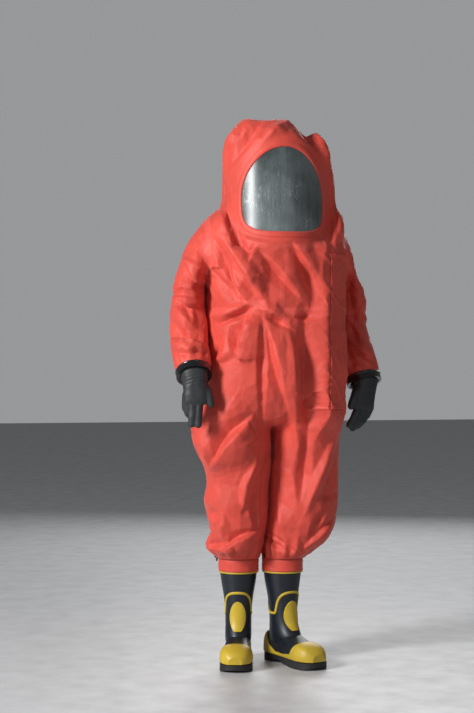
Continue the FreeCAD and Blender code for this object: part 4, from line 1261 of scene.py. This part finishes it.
def lens_plastic():
    """Clear plastic dulled by wear: milky haze, wipe marks and fine scratches, on a dark base colour that
    is painted shade of the dark inside behind it.
    """
    s = Shader("visor_plastic")
    low = s.noise(7.0, 4.0, 0.6)
    wipe = s.noise(10.0, 4.0, 0.6, s.stretch(1.0, 1.0, 0.12, (0.0, 0.35, 0.0)), 0.4)
    haze = s.math("ADD", s.math("MULTIPLY", low, 0.6), s.math("MULTIPLY", wipe, 0.5))
    haze = s.spread(haze, 0.40, 0.75)
    marks = []
    turns = {46.0: (0.2, 0.7, 0.1), 60.0: (0.5, -0.6, 0.3), 38.0: (0.1, 1.3, 0.2)}
    for scale, turn in turns.items():
        line = s.noise(scale, 2.0, 0.5, s.stretch(1.0, 1.0, 0.06, turn), 1.6)
        near = s.math("ABSOLUTE", s.math("SUBTRACT", line, 0.5))
        marks.append(s.spread(near, 0.009, 0.001))
    patch = s.spread(s.noise(5.0, 2.0), 0.42, 0.62)
    scratch = s.math("MAXIMUM", marks[0], s.math("MAXIMUM", marks[1], marks[2]))
    scratch = s.math("MULTIPLY", scratch, patch)
    speck = s.spread(s.noise(260.0, 2.0), 0.70, 0.76)
    # The dark colour is painted shade of the suit's dark inside seen through the lens; the haze lifts it
    # towards a milky grey, which is real wear.
    colour = s.mix(haze, (0.045, 0.058, 0.060), (0.20, 0.235, 0.24))
    colour = s.mix(s.math("MULTIPLY", scratch, 0.75), colour, (0.62, 0.68, 0.68))
    colour = s.mix(s.math("MULTIPLY", speck, 0.25), colour, (0.5, 0.54, 0.54))
    s.set(Base_Color=colour, Roughness=s.spread(haze, 0.0, 1.0, 0.26, 0.42), IOR=1.46,
          Transmission_Weight=0.12, Normal=s.bump(scratch, 0.10, 0.0004))
    return s.material


# ------------------------------------------------------------------ gloves


def capsule(a, b, ra, rb, rings=7, count=22):
    """A rounded bar between two places."""
    a, b = np.asarray(a, float), np.asarray(b, float)
    along = unit(b - a)
    side = unit(np.cross(along, (0.31, 0.87, 0.38)))
    up = np.cross(along, side)
    rows = []
    for k in range(rings):
        t = math.pi / 2 * (1 - k / (rings - 1))
        rows.append((a - along * ra * math.sin(t), max(ra * math.cos(t), ra * 0.02)))
    for k in range(rings):
        t = math.pi / 2 * k / (rings - 1)
        rows.append((b + along * rb * math.sin(t), max(rb * math.cos(t), rb * 0.02)))
    return tube("bar", [oval(c, side, up, r, r, 2.0, count) for c, r in rows])


# Each digit: places across towards the thumb, down the hand and towards its back, and radii (mm).
HANDS = {
    "right": {
        "down": (0.05, -0.25, -1.0), "thumb": (1.0, -0.15, 0.0),
        "digits": [
            [(6, 62, 0, 17), (6, 98, -1, 14.5), (2, 130, -5, 13.5), (-1, 160, -11, 12.5)],
            [(-13, 62, 0, 17), (-15, 100, 0, 14.5), (-19, 134, -5, 13.5), (-22, 157, -12, 12.5)],
            [(-26, 62, -4, 15), (-29, 94, -10, 12.5), (-31, 116, -28, 12), (-26, 120, -46, 11)],
            [(-32, 60, -8, 14), (-37, 84, -14, 11.5), (-38, 100, -30, 11), (-32, 104, -44, 10)],
            [(14, 22, 0, 20), (32, 46, 4, 16), (41, 72, 6, 14), (45, 98, 0, 12.5)],
        ],
    },
    "left": {
        "down": (-0.17, -0.22, -1.0), "thumb": (-1.0, -0.35, 0.0),
        "digits": [
            [(12, 60, 0, 17), (16, 96, 0, 13.5), (24, 126, -6, 12.5), (33, 152, -16, 11)],
            [(-6, 62, 0, 18), (-5, 100, 0, 13.5), (4, 134, -6, 12.5), (16, 160, -18, 11.5)],
            [(-22, 60, 0, 17), (-23, 94, 0, 13), (-15, 128, -8, 12), (-2, 150, -20, 11)],
            [(-33, 56, -2, 14), (-37, 82, -3, 12), (-31, 108, -10, 11), (-20, 126, -20, 10)],
            [(16, 20, 2, 20), (33, 42, 8, 16), (43, 68, 10, 14), (48, 94, 6, 12)],
        ],
    },
}


def hand_frame(side):
    """Directions down the hand, across it towards the thumb, and out of its back."""
    down, thumb = unit(HANDS[side]["down"]), unit(HANDS[side]["thumb"])
    back = unit(np.cross(thumb, down))
    if back[1] > 0:
        back = -back
    across = unit(thumb - down * thumb.dot(down))
    return down, across, back


def make_glove(side, material):
    """A rubber glove in its wearer's pose: palm and digits in one skin, with crinkles."""
    _, wrist, along, _, _ = arm_frame(side)
    down, across, back = hand_frame(side)
    root = wrist + along * 0.0095
    rows = [(root, along, 0.0455, 0.0455), (root + along * 0.017, along, 0.0450, 0.0445),
            (root + along * 0.022 + down * 0.012, unit(along + down), 0.0415, 0.036),
            (root + along * 0.021 + down * 0.032, down, 0.0400, 0.030),
            (root + along * 0.018 + down * 0.060, down, 0.0420, 0.0265),
            (root + along * 0.016 + down * 0.084, down, 0.0400, 0.021),
            (root + along * 0.015 + down * 0.096, down, 0.0330, 0.013)]
    rings = []
    for middle, normal, wide, thick in rows:
        s = unit(across - normal * across.dot(normal))
        rings.append(oval(middle, s, unit(np.cross(normal, s)), wide, thick, 2.3, 48))
    parts = [tube("palm", between(rings, 3))]
    base = root + along * 0.014
    for digit in HANDS[side]["digits"]:
        places = [(base + (across * a + down * d + back * b) / 1000, r / 1000) for a, d, b, r in digit]
        for (p, rp), (q, rq) in zip(places, places[1:]):
            parts.append(capsule(p, q, rp, rq))
    glove = remeshed(joined(side + "_rubber_glove", parts), 0.0026)
    points = relaxed(points_of(glove), edges_of(glove), 5)
    set_points(glove, points)
    normals = normals_of(glove)
    rel = points - base
    depth = rel @ down
    rise = np.array([(0.25 - abs(noise.noise(Vector((x * 46, y * 46, z * 30))))) * 0.0022
                     for x, y, z in points])
    crinkle = np.sin(depth * 2 * math.pi / 0.0105 + 3 * rel @ across * 30)
    rise += crinkle * 0.0009 * np.exp(-((depth - 0.020) / 0.016) ** 2)
    points = points + normals * (rise * smooth_step(depth, -0.004, 0.012))[:, None]
    set_points(glove, points)
    glove.data.materials.append(material)
    glove.data.polygons.foreach_set("use_smooth", [True] * len(glove.data.polygons))
    return glove


# ------------------------------------------------------------------ hems, boots and the zip's cover

# Where each boot stands: x and y of its shaft, and its turn in degrees.
BOOTS = {"right": ((-0.108, 0.036), -15.0), "left": ((0.042, 0.018), 21.0)}
BOOT_POINTS = 96                 # points in a ring round the shaft


def boot_ring(side, z, wide, deep, ripple=0.0):
    """A level ring of points round a boot's shaft."""
    (x, y), yaw = BOOTS[side]
    a = math.radians(yaw)
    turn = np.linspace(0, 2 * math.pi, BOOT_POINTS, endpoint=False)
    grow = 1 + ripple * np.sin(9 * turn + 2.1 * z * 90)
    px, py = np.cos(turn) * wide * grow, np.sin(turn) * deep * grow + 0.004
    return np.stack([x + px * math.cos(a) - py * math.sin(a), y + px * math.sin(a) + py * math.cos(a),
                     np.full(BOOT_POINTS, z)], 1)


def hem_band(side, material):
    """The snug cloth cuff over the top of the boot, with a folded lower edge."""
    low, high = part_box(side + "_boot_band")
    profile = [(high.z + 0.004, 0.0650, 0.0690), (high.z + 0.001, 0.0678, 0.0716),
               (0.338, 0.0682, 0.0722), (0.330, 0.0675, 0.0714), (0.322, 0.0683, 0.0722),
               (0.316, 0.0674, 0.0712), (low.z + 0.0035, 0.0684, 0.0724), (low.z, 0.0674, 0.0714),
               (low.z, 0.0646, 0.0686), (0.320, 0.0644, 0.0684), (high.z, 0.0644, 0.0684)]
    rings = [boot_ring(side, z, wide, deep, 0.006) for z, wide, deep in profile]
    return loop_band(side + "_hem_band", rings, material)


def boot_edge(side, material):
    """The boot's yellow top edge, a thin bead under the hem band."""
    low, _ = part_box(side + "_boot_band")
    rings = []
    for turn in np.linspace(0, 2 * math.pi, 12, endpoint=False):
        z, out = low.z - 0.0035 + 0.0030 * math.sin(turn), 0.0022 * math.cos(turn)
        rings.append(boot_ring(side, z, 0.0655 + out, 0.0695 + out))
    return loop_band(side + "_boot_top_edge", rings, material)


def elastic_end(side, material):
    """The rubber cord's stop, sewn in at the outside of the hem."""
    place = boot_ring(side, HEM, 0.072, 0.076)[BOOT_POINTS // 2 if side == "right" else 0]
    out = unit([place[0] - BOOTS[side][0][0], place[1] - BOOTS[side][0][1], 0])
    up = np.array([0, 0, 1.0])
    head = capsule(place - out * 0.004, place + out * 0.004 + up * 0.002, 0.0050, 0.0062, 5, 14)
    tail = capsule(place - up * 0.002, place - up * 0.012 + out * 0.002, 0.0035, 0.0028, 5, 14)
    end = joined(side + "_hem_cord_stop", [head, tail])
    end.data.materials.append(material)
    return end


def zip_cover_sheet(material):
    """The cloth flap over the zip, which waves with the cloth beside it."""
    start, width = -0.0375, 0.0375 + 0.0395
    across, rows = 26, 150
    low, high = ZIP_LOW - 0.005, ZIP_HIGH + 0.005
    points, faces = [], []
    for level in (0, 1):
        for r in range(rows + 1):
            z = low + (high - low) * r / rows
            for c in range(across + 1):
                x = start + width * c / across
                edge = 1 - smooth_step(min(x - start, start + width - x, z - low, high - z), 0.0, 0.003)
                y = FLAP_BACK - 0.0034 - zip_wave(x, z) + (0.0016 if level else edge * 0.0008)
                points.append((x, y, z))

    def index(level, r, c):
        return level * (rows + 1) * (across + 1) + r * (across + 1) + c
    for r in range(rows):
        for c in range(across):
            faces.append((index(0, r, c), index(0, r, c + 1), index(0, r + 1, c + 1), index(0, r + 1, c)))
            faces.append((index(1, r, c), index(1, r + 1, c), index(1, r + 1, c + 1), index(1, r, c + 1)))

    for r in range(rows):
        for c in (0, across):
            faces.append((index(0, r, c), index(0, r + 1, c), index(1, r + 1, c), index(1, r, c)))
    for c in range(across):
        for r in (0, rows):
            faces.append((index(0, r, c), index(0, r, c + 1), index(1, r, c + 1), index(1, r, c)))
    sheet = mesh_object("zip_cover_cloth", from_zip(np.array(points)), faces, material)
    fix_normals(sheet)
    return sheet


# ------------------------------------------------------------------ boots


def boot_trim(side, material):
    """A half-round bead that arches over the shin pad and runs on round the shaft."""
    tree = tree_of(frame["nodes"][side + "_boot_upper"])
    (x0, y0), yaw = BOOTS[side]
    front = math.radians(yaw - 90)
    middles, outs = [], []
    for turn in np.linspace(-math.pi, math.pi, 160, endpoint=False):
        share = abs(turn) / math.radians(66)
        level = 0.166 + 0.072 * math.sqrt(max(0.0, 1 - min(share, 1.0) ** 2.6))
        back = max(0.0, (abs(turn) - math.radians(108)) / math.radians(72))
        level += 0.060 * back * back * (3 - 2 * back)
        way = Vector((math.cos(front + turn), math.sin(front + turn), 0))
        hit, normal, _, _ = tree.ray_cast(Vector((x0, y0, level)) + way * 0.16, -way)
        if hit is None:
            hit, normal = Vector((x0, y0, level)) + way * 0.057, way
        middles.append(np.array(hit))
        outs.append(np.array(normal if normal.dot(way) > 0 else -normal))
    middles, outs, count = np.array(middles), np.array(outs), len(middles)
    for _ in range(6):
        middles, outs = ((np.roll(row, 1, 0) + np.roll(row, -1, 0) + 2 * row) / 4
                         for row in (middles, outs))
    rings = []
    for i in range(count):
        ahead = unit(middles[(i + 1) % count] - middles[i - 1])
        out = unit(outs[i] - ahead * outs[i].dot(ahead))
        side_way = unit(np.cross(ahead, out))
        rings.append(oval(middles[i] + out * 0.0002, side_way, out, 0.0044, 0.0026, 2.5, 14))
    return loop_band(side + "_boot_arch_bead", rings, material)


def rubber(name, colour, roughness, coat=0.0):
    """Moulded rubber or plastic: cloudy bloom, dust in patches and rubbed marks."""
    s = Shader(name)
    cloud = s.noise(11.0, 4.0, 0.6)
    dust = s.spread(s.noise(5.0, 6.0, 0.68), 0.52, 0.80, 0.0, 0.35)
    rub = s.noise(30.0, 4.0, 0.65, s.stretch(1.0, 1.0, 0.3, (0.4, 0.3, 0.1)), 0.6)
    base = s.mix(s.spread(cloud, 0.35, 0.7), colour, tinted(colour, 0.72))
    base = s.mix(dust, base, tinted(colour, 0.7, 0.055))
    base = s.mix(s.spread(rub, 0.64, 0.72, 0.0, 0.30), base, tinted(colour, 1.3, 0.045))
    rough = s.spread(cloud, 0.3, 0.7, roughness * 0.85, roughness * 1.1)
    rough = s.math("ADD", rough, s.math("MULTIPLY", dust, 0.4))
    grain = s.bump(s.noise(520.0, 2.0), 0.16, 0.0005)
    s.set(Base_Color=base, Roughness=rough, Normal=s.bump(rub, 0.10, 0.002, grain),
          Coat_Weight=coat, Coat_Roughness=0.12)
    return s.material


def webbing(name, colour):
    """Woven tape, with its ribs and a dull thread sheen."""
    s = Shader(name)
    weave = s.math("MULTIPLY", s.wave(260.0, "X"), s.wave(180.0, "Z"))
    s.set(Base_Color=s.mix(weave, tinted(colour, 0.6), tinted(colour, 1.5)),
          Roughness=0.85, Normal=s.bump(weave, 0.5, 0.0007), Sheen_Weight=0.3)
    return s.material


def brass(name):
    """Brass worn bright in places."""
    s = Shader(name)
    cloud = s.noise(60.0, 4.0)
    s.set(Base_Color=s.mix(cloud, (0.42, 0.30, 0.13), (0.62, 0.48, 0.26)), Metallic=1.0,
          Roughness=s.spread(cloud, 0.3, 0.7, 0.26, 0.45),
          Normal=s.bump(s.noise(300.0, 2.0), 0.10, 0.0004))
    return s.material


# ------------------------------------------------------------------ put together


def paint(material, *nodes):
    for name in nodes:
        mesh = frame["nodes"][name].data
        mesh.materials.clear()
        mesh.materials.append(material)


def add_piece(piece, body, slot, *stands_for):
    """Puts a piece on its body, in place of the frame's nodes; the slot is not used."""
    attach(piece, body)
    if stands_for:
        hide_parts(*stands_for)


def add_sleeve(sleeve, side):
    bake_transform(sleeve)
    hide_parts(side + "_upper_sleeve", side + "_elbow_fold", side + "_lower_sleeve")


def add_leg(leg, side):
    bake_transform(leg)
    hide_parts(side + "_knee_fold", side + "_lower_leg_shell")


def dress():
    """Makes every visible piece, and gives the frame's own nodes their materials."""
    suit = coated_cloth("suit_coated_cloth", CORAL, CORAL_DEEP)
    black = rubber("black_moulded_rubber", (0.016, 0.016, 0.018), 0.46)
    gloss = rubber("ring_gloss_plastic", (0.0075, 0.0075, 0.009), 0.20, coat=0.6)
    glove = rubber("glove_rubber", (0.026, 0.028, 0.031), 0.56)
    boot = rubber("boot_rubber", (0.008, 0.012, 0.020), 0.42)
    yellow = rubber("boot_yellow_rubber", (0.66, 0.46, 0.034), 0.44)
    sole = rubber("sole_rubber", (0.014, 0.014, 0.016), 0.66)
    tape = webbing("woven_black_tape", (0.020, 0.020, 0.022))
    felt = webbing("insole_felt", (0.16, 0.16, 0.15))
    plastic = rubber("black_moulded_plastic", (0.018, 0.018, 0.020), 0.34)

    pieces = split_garment(make_garment(), suit)
    body = pieces["suit_cloth"]
    add_piece(body, "suit", "suit_cloth", "hood_shell", "torso_shell", "right_thigh_shell",
              "left_thigh_shell", "flap_seam_strip")
    for side in ("right", "left"):
        shin = side + "_shin"
        add_sleeve(pieces[side + "_sleeve_cloth"], side)
        add_leg(pieces[side + "_leg_cloth"], side)
        add_piece(hem_band(side, suit), shin, "suit_cloth", side + "_boot_band")
        add_piece(make_glove(side, glove), side + "_hand", "glove_rubber", side + "_glove")
        add_piece(boot_trim(side, yellow), shin, "boot_yellow", side + "_boot_trim")
        add_piece(boot_edge(side, yellow), shin, "boot_yellow")
        add_piece(elastic_end(side, black), shin, "dark_rubber")
        paint(boot, side + "_boot_upper")
        paint(yellow, side + "_toe_cap", side + "_rand", side + "_shin_pad")
        paint(sole, side + "_outsole")
        paint(felt, side + "_insole")
        paint(gloss, side + "_cuff_ring", side + "_glove_ring")
        paint(black, side + "_ring_seal", side + "_valve_disc")
        paint(plastic, side + "_valve_body", side + "_valve_nut", side + "_valve_cap")
    add_piece(visor_rim(suit), "suit", "visor_rim", "visor_frame", "visor_gasket")
    cover = zip_cover_sheet(suit)
    add_piece(cover, "zip_cover", "suit_cloth", "zip_flap")
    paint(lens_plastic(), "visor_lens")
    paint(suit, "zip_backing")
    paint(tape, "zip_tape", "hook_tape", "loop_tape", "waist_belt")
    paint(plastic, "zip_teeth_and_stops", "belt_buckle")
    paint(brass("zip_brass"), "zip_slider", "zip_pull")


add_camera()
add_studio()
dress()
